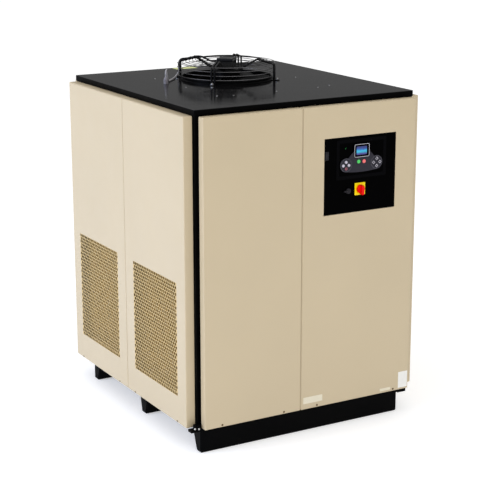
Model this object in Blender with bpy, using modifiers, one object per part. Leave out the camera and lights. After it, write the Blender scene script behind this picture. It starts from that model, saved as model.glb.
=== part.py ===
"""Refrigerated air dryer: a floor-standing cabinet with a roof fan, a hinged control door, and
the refrigeration and air parts inside.

Metres, +Z up, front towards -Y. The origin is on the floor, under the middle of the cabinet.
"""

import math

import bmesh
import bpy
from mathutils import Matrix, Vector

# ---------------------------------------------------------------- driving dimensions

GAP = 0.0003                     # left between pieces that touch

ROOF_TOP = 1.650
ROOF_WIDTH = 1.213
ROOF_DEPTH = 1.324
ROOF_LIP = 0.028
ROOF_SHEET = 0.0025
ROOF_BEND = 0.003

CABINET_WIDTH = 1.307            # over the side panels
CABINET_DEPTH = 1.420            # over the front and rear panels
PANEL_BOTTOM = 0.126
PANEL_TOP = 1.620
PANEL_SHEET = 0.002
PANEL_BEND = 0.005
SEAM = 0.003
SIDE_PANEL_SPAN = 1.286
SIDE_PANEL_FOLD = 0.0464
FRONT_PANEL_SPAN = 1.178
FRONT_PANEL_FOLD = 0.037
FRONT_SEAM_X = -0.056

GRILLE_BOTTOM = 0.265
GRILLE_HEIGHT = 0.556
GRILLE_WIDTH = 0.470
GRILLE_INSET = 0.089             # from the middle seam to the grille
GRILLE_SLOTS = 17
SLOT_OPEN_SHARE = 0.5

POST_SIZE = 0.060
POST_SHEET = 0.003
POST_INSET = 0.004               # behind the outside of the roof's lip

BASE_LEFT = -0.600
BASE_RIGHT = 0.597
BASE_DEPTH = 1.363
BASE_LIP = 0.012
BASE_SHEET = 0.003
BASE_BEND = 0.0025
CROSS_BAR_LEFT = -0.647          # the front cross bar stands out past the skid at both ends
CROSS_BAR_DEPTH = 0.034
CROSS_BAR_HEIGHT = 0.028
CROSS_BAR_GAP = 0.002            # between a cross bar's end and its skid
SKID_LEFT = -0.595
SKID_RIGHT = 0.545
SKID_FOOT = 0.045                # width of a skid where it meets the floor
SKID_SPLAY = 0.045               # how far a sloping side leans out
MIDDLE_SKID_SPLAY = 0.030
SKID_SHEET = 0.004
SKID_BEND = 0.006
MIDDLE_SKID_Y = -0.059           # the middle skid sits a little towards the front
REAR_SKID_Y = 0.531              # the rear skid stands well inside the rear edge

FAN_X = 0.015
FAN_Y = 0.148
FAN_OPENING_R = 0.236
SHROUD_R = 0.228                 # inside the fan ring
SHROUD_BOTTOM = 1.600
SHROUD_WALL = 0.003
FLANGE_LAP = 0.0055              # how far the ring's flange reaches over the roof
SHROUD_TOP = ROOF_TOP + 0.018
BLADE_TIP_R = 0.222
BLADE_COUNT = 7
BLADE_SHEET = 0.003
BLADE_MIDDLE_Z = 1.646
HUB_R = 0.070
HUB_WALL = 0.0045
HUB_TOP = 1.688
HUB_BOTTOM = 1.615
MOTOR_R = 0.060
MOTOR_BOTTOM = 1.640
MOTOR_FLANGE = (0.085, 0.007)    # radius and thickness
MOTOR_NECK_R = 0.045
GUARD_R = 0.252
GUARD_ROD_R = 0.004
GUARD_RING_R = 0.003
GUARD_ROD_SPACING = 0.016
GUARD_HEIGHT = 0.087
GUARD_SHOULDER = 0.015           # bend radius at the top of the upright parts
GUARD_CROWN_R = 0.163            # where the rods stop rising and dip to the motor
GUARD_CROWN_RISE = 0.019
GUARD_DIP = 0.049
GUARD_FOOT = (0.036, 0.026, 0.004)
GUARD_RING_HEIGHTS = (0.030, 0.066)
CROWN_RING_RS = (0.200, 0.167)
TERMINAL_BOX_SIDE = 0.086
TERMINAL_BOX_HEIGHT = 0.047
CABLE_R = 0.0045
CABLE_ENTRY_R = 0.009
CABLE_ENTRY_REACH = 0.014
ROOF_GLAND_PLACE = (-0.340, 0.141)
ROOF_GLAND_TOP = 1.682

DOOR_LEFT = 0.065
DOOR_RIGHT = 0.473
DOOR_BOTTOM = 1.093
DOOR_TOP = 1.461
DOOR_SHEET = 0.003
DOOR_RECESS = 0.0015             # the door's face lies this far behind the panel's face
DOOR_CLEARANCE = 0.0025
HINGE_OFFSET = 0.0005
PLATE_LOW = (0.131, 1.257)       # the controller's back plate
PLATE_HIGH = (0.418, 1.450)
PLATE_SHEET = 0.002
LATCH_LOW = (0.0695, 1.360)
LATCH_HIGH = (0.0885, 1.400)
LATCH_CLEARANCE = 0.0015
BOX_LOW = (0.040, 1.060)         # the sheet-metal box behind the door
BOX_HIGH = (0.500, 1.500)
BOX_BACK = -0.500
BOX_SHEET = 0.002

CONTROLLER_Z = 1.327             # height of the two key clusters
LEFT_CLUSTER_X = 0.1835
RIGHT_CLUSTER_X = 0.359
CLUSTER_R = 0.0335
HOUSING_THICKNESS = 0.0054
HOUSING_BASE_R = 0.660           # the base bows down a little between the round ends
HOUSING_DOME_R = 0.083
BODY_LOW = (0.2055, 1.300)       # the part of the controller that passes through the door
BODY_HIGH = (0.3375, 1.362)
BODY_CLEARANCE = 0.001
DISPLAY_X = 0.271
DISPLAY_Z = 1.392
BEZEL_SIZE = (0.087, 0.064)
BEZEL_BORDER = 0.004
BEZEL_CORNER_R = 0.008
WINDOW_CORNER_R = 0.004
BEZEL_RAISE = 0.003
START_KEY = (0.2545, 1.339)
STOP_KEY = (0.2855, 1.338)
START_KEY_R = 0.009
FUNCTION_KEY_R = 0.007
FUNCTION_KEY_SPREAD = 0.016
ARROW_KEY_R = 0.0085
ARROW_KEY_SPREAD = 0.018
KEY_RAISE = 0.002
KEY_DEPTH = 0.004
KEY_POCKET = 0.0035
KEY_CLEARANCE = 0.0005

SWITCH_X = 0.2685
SWITCH_Z = 1.2035
SWITCH_PLATE = 0.060
SWITCH_PLATE_SHEET = 0.003
SWITCH_KNOB_R = 0.0208
SWITCH_GRIP_WIDTH = 0.014
SWITCH_GRIP_BELOW = 0.0262       # the grip reaches further below the axis than above it
SWITCH_GRIP_ABOVE = 0.020
SWITCH_REACH = 0.0335            # from the door's face to the grip's front
SWITCH_BODY = (0.055, 0.050)     # side and depth behind the door
SELECTOR_X = 0.2005
SELECTOR_Z = 1.199
SELECTOR_R = 0.013
POINTER_REACH = 0.0265
SHAFT_R = 0.005
SHAFT_HOLE_R = 0.006

PIPE_Z = 1.250
PIPE_Y = 0.185
PIPE_XS = {"air_inlet_pipe": 0.165, "air_outlet_pipe": 0.415}
PIPE_R = 0.04445                 # 3 inch pipe, 88.9 mm outside
PIPE_BORE_R = 0.039
ELBOW_R = 0.114
FLANGE_R = 0.095
FLANGE_THICKNESS = 0.024
FLANGE_BOLT_CIRCLE_R = 0.0762
FLANGE_BOLT_HOLE_R = 0.0095
PIPE_HOLE_R = 0.050

EXCHANGER_LOW = (0.080, 0.030)
EXCHANGER_HIGH = (0.500, 0.350)
EXCHANGER_TOP = 0.800
SEPARATOR_X = 0.200
SEPARATOR_Y = -0.250
SEPARATOR_R = 0.100
SEPARATOR_TOP = 0.780
COMPRESSOR_X = -0.250
COMPRESSOR_Y = -0.200
COMPRESSOR_R = 0.115
COMPRESSOR_TOP = 0.620
RECEIVER_X = -0.250
RECEIVER_Y = 0.250
RECEIVER_R = 0.070
RECEIVER_TOP = 0.550
CONDENSER_X = 0.580
CONDENSER_THICKNESS = 0.018
CONDENSER_LENGTH = 1.160
CONDENSER_BOTTOM = 0.240
CONDENSER_TOP = 0.860

DRAIN_X = 0.450
DRAIN_Z = 0.220
DRAIN_VALVE_R = 0.014
DRAIN_HOLE_R = 0.010
LEVER_SIZE = (0.080, 0.014, 0.004)
LEVER_OFFSET = 0.032             # from the stem to the lever's middle
GLAND_X = -0.400
GLAND_Z = 1.300
GLAND_HOLE_R = 0.0135

# ---------------------------------------------------------------- derived places

SIDE_X = CABINET_WIDTH / 2
FRONT_Y = -CABINET_DEPTH / 2
FLOOR_TOP = PANEL_BOTTOM - GAP
POST_TOP = ROOF_TOP - ROOF_SHEET - GAP
DOOR_FACE = FRONT_Y + DOOR_RECESS
DOOR_BACK = DOOR_FACE + DOOR_SHEET
REAR_REACH = SWITCH_REACH - DOOR_FACE          # the pipe flanges' faces
PLATE_FACE = DOOR_FACE - GAP - PLATE_SHEET
HOUSING_BACK = PLATE_FACE - GAP
HOUSING_FACE = HOUSING_BACK - HOUSING_THICKNESS
SWITCH_PLATE_FACE = DOOR_FACE - GAP - SWITCH_PLATE_SHEET
HINGE_X = DOOR_RIGHT + HINGE_OFFSET
FAN_PLACE = Vector((FAN_X, FAN_Y, 0.0))
GUARD_TOP = ROOF_TOP + GUARD_HEIGHT
MOTOR_MOUNT_Z = GUARD_TOP + GUARD_CROWN_RISE - GUARD_DIP
TERMINAL_BOX_Z = MOTOR_MOUNT_Z + 0.006

FACE_Y = Matrix.Rotation(math.radians(90), 4, "X")      # local +Z to world -Y


# ---------------------------------------------------------------- scene and materials

def clear_scene():
    for obj in list(bpy.data.objects):
        bpy.data.objects.remove(obj, do_unlink=True)


def new_collection(name):
    collection = bpy.data.collections.new(name)
    bpy.context.scene.collection.children.link(collection)
    return collection


def new_material(name, color, roughness, metallic=0.0):
    material = bpy.data.materials.new(name)
    material.use_nodes = True
    shader = material.node_tree.nodes["Principled BSDF"]
    shader.inputs["Base Color"].default_value = (*color, 1.0)
    shader.inputs["Roughness"].default_value = roughness
    shader.inputs["Metallic"].default_value = metallic
    return material


clear_scene()
PARTS = new_collection("refrigerated_air_dryer")
CUTTERS = new_collection("cutters")

CREAM_PAINT = new_material("cream_paint", (0.62, 0.53, 0.38), 0.45)
BLACK_PAINT = new_material("black_paint", (0.012, 0.012, 0.013), 0.35)
BLACK_GLOSS = new_material("black_gloss", (0.004, 0.004, 0.005), 0.12)
BLACK_WIRE = new_material("black_wire", (0.01, 0.01, 0.01), 0.4, 0.5)
BLACK_PLASTIC = new_material("black_plastic", (0.015, 0.015, 0.016), 0.5)
GREY_PLASTIC = new_material("grey_plastic", (0.052, 0.048, 0.061), 0.45)
GREY_CABLE = new_material("grey_cable", (0.32, 0.31, 0.32), 0.5)
LIGHT_KEY = new_material("light_key", (0.6, 0.58, 0.66), 0.4)
DARK_RED_KEY = new_material("dark_red_key", (0.12, 0.01, 0.02), 0.4)
GREEN_KEY = new_material("green_key", (0.12, 0.6, 0.12), 0.35)
RED_KEY = new_material("red_key", (0.85, 0.15, 0.14), 0.35)
YELLOW_PLASTIC = new_material("yellow_plastic", (0.9, 0.68, 0.02), 0.4)
RED_PLASTIC = new_material("red_plastic", (0.75, 0.005, 0.005), 0.35)
DISPLAY_GLASS = new_material("display_glass", (0.03, 0.09, 0.2), 0.1)
GALVANISED = new_material("galvanised_steel", (0.45, 0.46, 0.47), 0.4, 1.0)
STEEL = new_material("pipe_steel", (0.4, 0.4, 0.41), 0.35, 1.0)
COPPER = new_material("copper", (0.6, 0.25, 0.14), 0.3, 1.0)
BRASS = new_material("brass", (0.6, 0.43, 0.18), 0.3, 1.0)
ALUMINIUM = new_material("aluminium_fins", (0.55, 0.56, 0.57), 0.45, 1.0)
FOAM = new_material("foam_insulation", (0.02, 0.02, 0.021), 0.9)
RED_GRIP = new_material("red_grip", (0.5, 0.02, 0.01), 0.5)


# ---------------------------------------------------------------- modelling helpers

def place(name, bm, material, location=(0, 0, 0)):
    """Turns bm into an object. bm's coordinates are counted from location."""
    mesh = bpy.data.meshes.new(name)
    bm.to_mesh(mesh)
    bm.free()
    obj = bpy.data.objects.new(name, mesh)
    obj.location = location
    PARTS.objects.link(obj)
    if material:
        mesh.materials.append(material)
    return obj


def smooth(obj):
    """Shades round pieces smooth and keeps their edges sharp."""
    obj.data.shade_smooth()
    obj.data.set_sharp_from_angle(angle=math.radians(40))
    return obj


def as_cutter(obj):
    """A cutter or a joined shape is a guide: it isn't a piece of the dryer."""
    for owner in list(obj.users_collection):
        owner.objects.unlink(obj)
    CUTTERS.objects.link(obj)
    obj.hide_render = True
    obj.display_type = "WIRE"
    return obj


def boolean(obj, other, operation):
    as_cutter(other)
    modifier = obj.modifiers.new(f"{operation.lower()}_{other.name}", "BOOLEAN")
    modifier.operation = operation
    modifier.object = other
    return obj


def cut(obj, *cutters):
    for cutter in cutters:
        boolean(obj, cutter, "DIFFERENCE")
    return obj


def weld(obj, *others):
    for other in others:
        boolean(obj, other, "UNION")
    return obj


def cube_mesh(size):
    bm = bmesh.new()
    bmesh.ops.create_cube(bm, size=1.0)
    bmesh.ops.scale(bm, vec=size, verts=bm.verts)
    return bm


def block(name, low, high, material=None, bevel=0.0):
    """A box between two corners, with rounded edges if bevel is given."""
    low, high = Vector(low), Vector(high)
    obj = place(name, cube_mesh(high - low), material, (low + high) / 2)
    if bevel:
        modifier = obj.modifiers.new("rounded_edges", "BEVEL")
        modifier.width = bevel
        modifier.segments = 2
    return obj


def remove_faces(bm, direction):
    """Opens a box on the sides that face along direction."""
    direction = Vector(direction)
    found = [face for face in bm.faces if face.normal.dot(direction) > 0.9]
    bmesh.ops.delete(bm, geom=found, context="FACES_ONLY")


def fold_sheet(obj, thickness, bend):
    """Gives an open box bent edges and the thickness of its sheet, inwards."""
    if bend:
        rounding = obj.modifiers.new("bends", "BEVEL")
        rounding.width = bend
        rounding.segments = 1
    sheet = obj.modifiers.new("sheet", "SOLIDIFY")
    sheet.thickness = thickness
    sheet.offset = -1.0
    sheet.use_even_offset = True
    return obj


def tray(name, low, high, open_side, thickness, bend, material):
    """A folded sheet-metal tray: a box without the side that faces open_side."""
    low, high = Vector(low), Vector(high)
    bm = cube_mesh(high - low)
    remove_faces(bm, open_side)
    return fold_sheet(place(name, bm, material, (low + high) / 2), thickness, bend)


def rod(name, centre, radius, length, axis="Z", material=None, sides=24):
    """A cylinder about a world axis, centred on centre."""
    bm = bmesh.new()
    bmesh.ops.create_cone(
        bm, cap_ends=True, segments=sides, radius1=radius, radius2=radius, depth=length
    )
    turn = {"X": ("Y", 90), "Y": ("X", 90), "Z": ("Z", 0)}[axis]
    bmesh.ops.rotate(bm, verts=bm.verts, matrix=Matrix.Rotation(math.radians(turn[1]), 3, turn[0]))
    return smooth(place(name, bm, material, centre))


def turned(name, profile, location, material, steps=24, faces_front=False):
    """A turned piece. profile is (radius, height) pairs from the top, down the outer side.

    A profile that starts and ends off the axis closes on itself and makes a ring.
    """
    bm = bmesh.new()
    verts = [bm.verts.new((radius, 0, height)) for radius, height in profile]
    for first, second in zip(verts, verts[1:]):
        bm.edges.new((first, second))
    if profile[0][0] > 0:
        bm.edges.new((verts[-1], verts[0]))
    obj = place(name, bm, material, location)
    screw = obj.modifiers.new("turn", "SCREW")
    screw.axis = "Z"
    screw.steps = steps
    screw.render_steps = steps
    screw.use_merge_vertices = True
    screw.merge_threshold = 0.00005
    screw.use_smooth_shade = True
    if faces_front:
        obj.rotation_euler = FACE_Y.to_euler()
    return obj


def curve_object(name, points, dimensions, cyclic):
    curve = bpy.data.curves.new(name, "CURVE")
    curve.dimensions = dimensions
    spline = curve.splines.new("POLY")
    spline.points.add(len(points) - 1)
    for point, target in zip(spline.points, points):
        point.co = (*target, 1.0) if len(target) == 3 else (*target, 0.0, 1.0)
    spline.use_cyclic_u = cyclic
    obj = bpy.data.objects.new(name, curve)
    PARTS.objects.link(obj)
    return obj


def tube(name, points, radius, material, resolution=2):
    obj = curve_object(name, points, "3D", False)
    obj.data.bevel_depth = radius
    obj.data.bevel_resolution = resolution
    obj.data.use_fill_caps = True
    if material:
        obj.data.materials.append(material)
    return obj


def curve_to_mesh(obj):
    """Makes a curve a closed mesh, so that it can be cut or joined."""
    bpy.context.view_layer.update()
    evaluated = obj.evaluated_get(bpy.context.evaluated_depsgraph_get())
    mesh = bpy.data.meshes.new_from_object(evaluated)
    bm = bmesh.new()
    bm.from_mesh(mesh)
    bmesh.ops.remove_doubles(bm, verts=bm.verts, dist=0.00001)
    bmesh.ops.recalc_face_normals(bm, faces=bm.faces)
    bm.to_mesh(mesh)
    bm.free()
    name = obj.name
    solid = bpy.data.objects.new(name, mesh)
    solid.matrix_world = obj.matrix_world
    bpy.data.objects.remove(obj, do_unlink=True)
    solid.name = name
    PARTS.objects.link(solid)
    return solid


def mesh_tube(name, points, radius, material=None, resolution=2):
    return smooth(curve_to_mesh(tube(name, points, radius, material, resolution)))


def upright_outline(name, points, back, face, material=None):
    """A flat outline of (x, z) points, standing upright between two depths."""
    obj = curve_object(name, points, "2D", True)
    obj.data.fill_mode = "BOTH"
    obj.data.extrude = (back - face) / 2
    obj.rotation_euler = FACE_Y.to_euler()
    obj.location = (0, (back + face) / 2, 0)
    if material:
        obj.data.materials.append(material)
    return curve_to_mesh(obj)


def arc(centre, radius, start, end, count):
    """count points along an arc, with angles in degrees, counted from +X."""
    angles = [math.radians(start + (end - start) * i / (count - 1)) for i in range(count)]
    return [
        (centre[0] + radius * math.cos(a), centre[1] + radius * math.sin(a)) for a in angles
    ]


def rounded_rectangle(centre, size, radius, count=4):
    points = []
    for corner, (sx, sz) in enumerate(((1, 1), (-1, 1), (-1, -1), (1, -1))):
        middle = (
            centre[0] + sx * (size[0] / 2 - radius),
            centre[1] + sz * (size[1] / 2 - radius),
        )
        points += arc(middle, radius, 90 * corner, 90 * corner + 90, count)
    return points


def smooth_route(points, per_span):
    """Points along a smooth curve that passes through every given point (Catmull-Rom)."""
    knots = [Vector(p) for p in points]
    knots = [2 * knots[0] - knots[1]] + knots + [2 * knots[-1] - knots[-2]]
    route = []
    for p0, p1, p2, p3 in zip(knots, knots[1:], knots[2:], knots[3:]):
        for step in range(per_span):
            t = step / per_span
            route.append(
                0.5 * (2 * p1 + (p2 - p0) * t + (2 * p0 - 5 * p1 + 4 * p2 - p3) * t ** 2
                       + (3 * p1 - p0 - 3 * p2 + p3) * t ** 3)
            )
    return route + [knots[-2]]


def rounded_path(points, radius, count=3):
    """A pipe's centre line: straight runs with an arc at each inner corner."""
    points = [Vector(p) for p in points]
    path = [points[0]]
    for before, corner, after in zip(points, points[1:], points[2:]):
        to_start = (before - corner).normalized()
        to_end = (after - corner).normalized()
        half = to_start.angle(to_end) / 2
        reach = radius / math.tan(half)
        centre = corner + (to_start + to_end).normalized() * (radius / math.sin(half))
        first = (corner + to_start * reach - centre).normalized()
        last = (corner + to_end * reach - centre).normalized()
        for step in range(count + 1):
            path.append(centre + radius * first.slerp(last, step / count))
    path.append(points[-1])
    return path


def hinge_point(name, location):
    """An empty on a joint's axis: what it carries turns about it."""
    empty = bpy.data.objects.new(name, None)
    empty.location = location
    empty.empty_display_size = 0.05
    PARTS.objects.link(empty)
    bpy.context.view_layer.update()
    return empty


def carry(parent, *children):
    bpy.context.view_layer.update()
    for child in children:
        child.parent = parent
        child.matrix_parent_inverse = parent.matrix_world.inverted()


# ---------------------------------------------------------------- base and frame

def skid(name, foot_y, rear_splay, front_splay):
    """A folded channel along X, open towards the base pan. foot_y is its front edge on the floor."""
    rim_lift = SKID_SHEET * max(rear_splay, front_splay) / FLOOR_TOP
    top = FLOOR_TOP - BASE_SHEET - GAP - rim_lift
    length = SKID_RIGHT - SKID_LEFT
    bm = cube_mesh((length, SKID_FOOT, top))
    for vert in bm.verts:
        if vert.co.z > 0:
            vert.co.y += rear_splay if vert.co.y > 0 else -front_splay
    remove_faces(bm, (0, 0, 1))
    middle = ((SKID_LEFT + SKID_RIGHT) / 2, foot_y + SKID_FOOT / 2, top / 2)
    return fold_sheet(place(name, bm, BLACK_PAINT, middle), SKID_SHEET, SKID_BEND)


def build_base():
    edge = BASE_DEPTH / 2 - BASE_SHEET - 0.0015
    skid("skid_front", -edge, SKID_SPLAY, 0.0)
    skid("skid_middle", MIDDLE_SKID_Y - SKID_FOOT / 2, MIDDLE_SKID_SPLAY, MIDDLE_SKID_SPLAY)
    skid("skid_rear", REAR_SKID_Y - SKID_FOOT / 2, 0.0, SKID_SPLAY)
    pan = tray(
        "base_pan",
        (BASE_LEFT, -BASE_DEPTH / 2, FLOOR_TOP - BASE_LIP),
        (BASE_RIGHT, BASE_DEPTH / 2, FLOOR_TOP),
        (0, 0, -1), BASE_SHEET, BASE_BEND, BLACK_PAINT,
    )
    ends = (
        ("left", CROSS_BAR_LEFT, SKID_LEFT - CROSS_BAR_GAP, BASE_LIP),
        ("right", SKID_RIGHT + CROSS_BAR_GAP, BASE_RIGHT, CROSS_BAR_HEIGHT),
    )
    front = -BASE_DEPTH / 2
    for side_name, x_low, x_high, height in ends:
        low = (x_low, front, FLOOR_TOP - height)
        high = (x_high, front + CROSS_BAR_DEPTH, FLOOR_TOP)
        weld(pan, block(f"cross_bar_{side_name}", low, high))


def build_posts():
    """Four square tubes just inside the corners of the roof's lip."""
    inner_x = ROOF_WIDTH / 2 - POST_INSET - POST_SIZE / 2
    inner_y = ROOF_DEPTH / 2 - POST_INSET - POST_SIZE / 2
    bottom = PANEL_BOTTOM
    for depth_name, sy in (("front", -1), ("rear", 1)):
        for side_name, sx in (("left", -1), ("right", 1)):
            bm = cube_mesh((POST_SIZE, POST_SIZE, POST_TOP - bottom))
            remove_faces(bm, (0, 0, 1))
            remove_faces(bm, (0, 0, -1))
            middle = (sx * inner_x, sy * inner_y, (bottom + POST_TOP) / 2)
            post = place(f"post_{depth_name}_{side_name}", bm, BLACK_PAINT, middle)
            fold_sheet(post, POST_SHEET, 0.0)


def build_roof():
    roof = tray(
        "roof_panel",
        (-ROOF_WIDTH / 2, -ROOF_DEPTH / 2, ROOF_TOP - ROOF_LIP),
        (ROOF_WIDTH / 2, ROOF_DEPTH / 2, ROOF_TOP),
        (0, 0, -1), ROOF_SHEET, ROOF_BEND, BLACK_PAINT,
    )
    opening = rod("fan_opening", (FAN_X, FAN_Y, ROOF_TOP), FAN_OPENING_R, 0.1, sides=32)
    cut(roof, opening)


# ---------------------------------------------------------------- casing

def grille_cutter(name, x, y_low):
    """A stack of level slots: the open rows of one grille."""
    pitch = GRILLE_HEIGHT / GRILLE_SLOTS
    bm = bmesh.new()
    for row in range(GRILLE_SLOTS):
        made = bmesh.ops.create_cube(bm, size=1.0)["verts"]
        bmesh.ops.scale(bm, vec=(0.02, GRILLE_WIDTH, pitch * SLOT_OPEN_SHARE), verts=made)
        height = GRILLE_BOTTOM + pitch * (row + 0.5)
        bmesh.ops.translate(bm, vec=(0, 0, height), verts=made)
    return place(name, bm, None, (x, y_low + GRILLE_WIDTH / 2, 0))


def build_side_panels():
    """Two panels a side, each with a grille next to the middle seam."""
    half_span = SIDE_PANEL_SPAN / 2
    for side_name, sx in (("left", -1), ("right", 1)):
        outer, inner = sx * SIDE_X, sx * (SIDE_X - SIDE_PANEL_FOLD)
        for depth_name, sy in (("front", -1), ("rear", 1)):
            ends = sorted((sy * SEAM / 2, sy * half_span))
            name = f"side_panel_{side_name}_{depth_name}"
            panel = tray(
                name,
                (min(outer, inner), ends[0], PANEL_BOTTOM),
                (max(outer, inner), ends[1], PANEL_TOP),
                (-sx, 0, 0), PANEL_SHEET, PANEL_BEND, CREAM_PAINT,
            )
            near = sy * GRILLE_INSET
            grille_low = min(near, near + sy * GRILLE_WIDTH)
            cut(panel, grille_cutter(f"slots_{name}", outer, grille_low))


def end_panel(name, sy, x_low, x_high):
    outer, inner = sy * CABINET_DEPTH / 2, sy * (CABINET_DEPTH / 2 - FRONT_PANEL_FOLD)
    return tray(
        name,
        (x_low, min(outer, inner), PANEL_BOTTOM),
        (x_high, max(outer, inner), PANEL_TOP),
        (0, -sy, 0), PANEL_SHEET, PANEL_BEND, CREAM_PAINT,
    )


def build_end_panels():
    """Front and rear panels. The right front panel has the control door's cut-out."""
    half = FRONT_PANEL_SPAN / 2
    spans = {"left": (-half, FRONT_SEAM_X - SEAM / 2), "right": (FRONT_SEAM_X + SEAM / 2, half)}
    panels = {}
    for end_name, sy in (("front", -1), ("rear", 1)):
        for side_name, (x_low, x_high) in spans.items():
            name = f"{end_name}_panel_{side_name}"
            panels[name] = end_panel(name, sy, x_low, x_high)
    door_cutout = block(
        "door_cutout",
        (DOOR_LEFT - DOOR_CLEARANCE, FRONT_Y - 0.01, DOOR_BOTTOM - DOOR_CLEARANCE),
        (DOOR_RIGHT + DOOR_CLEARANCE, FRONT_Y + 0.01, DOOR_TOP + DOOR_CLEARANCE),
    )
    cut(panels["front_panel_right"], door_cutout)
    for name, x in PIPE_XS.items():
        hole = rod(f"hole_{name}", (x, -FRONT_Y, PIPE_Z), PIPE_HOLE_R, 0.03, "Y")
        cut(panels["rear_panel_right"], hole)
    drain_place = (DRAIN_X, -FRONT_Y, DRAIN_Z)
    drain_hole = rod("hole_drain", drain_place, DRAIN_HOLE_R, 0.03, "Y", sides=16)
    cut(panels["rear_panel_right"], drain_hole)
    gland_place = (GLAND_X, -FRONT_Y, GLAND_Z)
    gland_hole = rod("hole_gland", gland_place, GLAND_HOLE_R, 0.03, "Y", sides=16)
    cut(panels["rear_panel_left"], gland_hole)


# ---------------------------------------------------------------- fan

def build_shroud():
    """The fan ring: a bell-mouthed collar that hangs through the roof by its flange."""
    seat = ROOF_TOP + GAP
    outside = SHROUD_R + SHROUD_WALL
    rim = FAN_OPENING_R + FLANGE_LAP
    profile = [
        (SHROUD_R, SHROUD_TOP), (outside, SHROUD_TOP),
        (outside, seat + SHROUD_WALL), (rim, seat + SHROUD_WALL), (rim, seat), (outside, seat),
        (outside, SHROUD_BOTTOM), (SHROUD_R, SHROUD_BOTTOM),
    ]
    turned("fan_shroud", profile, FAN_PLACE, BLACK_PAINT, 32)


def guard_rod_path(side):
    """One rod of a leg as (distance from the fan's axis, side, height) points."""
    bend = GUARD_SHOULDER
    upright = [(GUARD_R, side, ROOF_TOP + 0.0005)]
    shoulder = [
        (GUARD_R - bend + bend * math.cos(a), side, GUARD_TOP - bend + bend * math.sin(a))
        for a in (math.radians(d) for d in (0, 45, 90))
    ]
    crown = [(GUARD_CROWN_R, side, GUARD_TOP + GUARD_CROWN_RISE)]
    dip = [(0.083, side, MOTOR_MOUNT_Z + 0.002), (0.064, side, MOTOR_MOUNT_Z)]
    return upright + shoulder + crown + dip


def guard_ring(name, radius, height):
    bpy.ops.mesh.primitive_torus_add(
        location=(FAN_X, FAN_Y, height), major_radius=radius, minor_radius=GUARD_RING_R,
        major_segments=24, minor_segments=4,
    )
    ring = bpy.context.object
    ring.name = name
    return ring


def guard_leg(index, turn):
    """Two bent rods side by side, and the foot that bolts to the roof."""
    pieces = []
    for side_index, side in enumerate((-GUARD_ROD_SPACING / 2, GUARD_ROD_SPACING / 2)):
        path = [turn @ Vector(p) + FAN_PLACE for p in guard_rod_path(side)]
        pieces.append(mesh_tube(f"guard_rod_{index}_{side_index}", path, GUARD_ROD_R, None, 1))
    foot = place(f"guard_foot_{index}", cube_mesh(GUARD_FOOT), None)
    foot.location = turn @ Vector((GUARD_R + 0.008, 0, 0)) + FAN_PLACE
    foot.location.z = ROOF_TOP + GAP + GUARD_FOOT[2] / 2
    foot.rotation_euler = turn.to_euler()
    pieces.append(foot)
    return pieces


def build_guard():
    """Wire guard: four double-rod legs on the diagonals, tied together by rings."""
    inside = GUARD_R - GUARD_ROD_R
    lower, upper = GUARD_RING_HEIGHTS
    guard = guard_ring("fan_guard", inside, ROOF_TOP + lower)
    guard.data.materials.append(BLACK_WIRE)
    for owner in list(guard.users_collection):
        owner.objects.unlink(guard)
    PARTS.objects.link(guard)
    crown_start = GUARD_R - GUARD_SHOULDER
    slope = GUARD_CROWN_RISE / (crown_start - GUARD_CROWN_R)
    for index, radius in enumerate(CROWN_RING_RS):
        height = GUARD_TOP + slope * (crown_start - radius) - GUARD_ROD_R
        weld(guard, guard_ring(f"crown_ring_{index}", radius, height))
    weld(guard, guard_ring("upper_ring", inside, ROOF_TOP + upper))
    for index in range(4):
        turn = Matrix.Rotation(math.radians(45 + 90 * index), 3, "Z")
        weld(guard, *guard_leg(index, turn))
    smooth(guard)


def blade(name, angle):
    """One broad, swept and twisted blade, from inside the hub's wall to the tip."""
    across, along = 4, 3
    chord_half = math.radians(19)
    bm = bmesh.new()
    rows = []
    for j in range(along):
        span = j / (along - 1)
        radius = HUB_R - HUB_WALL / 2 + (BLADE_TIP_R - HUB_R + HUB_WALL / 2) * span
        sweep = angle + math.radians(14) * span ** 1.5
        pitch = 0.020 - 0.004 * span
        row = []
        for i in range(across):
            share = 2 * i / (across - 1) - 1
            a = sweep + chord_half * share
            height = BLADE_MIDDLE_Z + pitch * share - 0.003 * (1 - share ** 2)
            row.append(bm.verts.new((radius * math.cos(a), radius * math.sin(a), height)))
        rows.append(row)
    for lower, upper in zip(rows, rows[1:]):
        for i in range(across - 1):
            bm.faces.new((lower[i], lower[i + 1], upper[i + 1], upper[i]))
    bmesh.ops.recalc_face_normals(bm, faces=bm.faces)
    obj = place(name, bm, None, FAN_PLACE)
    sheet = obj.modifiers.new("sheet", "SOLIDIFY")
    sheet.thickness = BLADE_SHEET
    sheet.offset = 0.0
    return smooth(obj)


def build_impeller():
    """The rotor is a cup that turns about the motor, with the blades on its wall."""
    inner = HUB_R - HUB_WALL
    chamfer = 0.008
    bore = 0.004
    profile = [
        (inner, HUB_TOP), (HUB_R, HUB_TOP), (HUB_R, HUB_BOTTOM + chamfer),
        (HUB_R - chamfer, HUB_BOTTOM), (bore, HUB_BOTTOM),
        (bore, HUB_BOTTOM + HUB_WALL), (inner, HUB_BOTTOM + HUB_WALL),
    ]
    impeller = turned("fan_impeller", profile, FAN_PLACE, BLACK_PAINT)
    for index in range(BLADE_COUNT):
        weld(impeller, blade(f"blade_{index}", 2 * math.pi * index / BLADE_COUNT))


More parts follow.
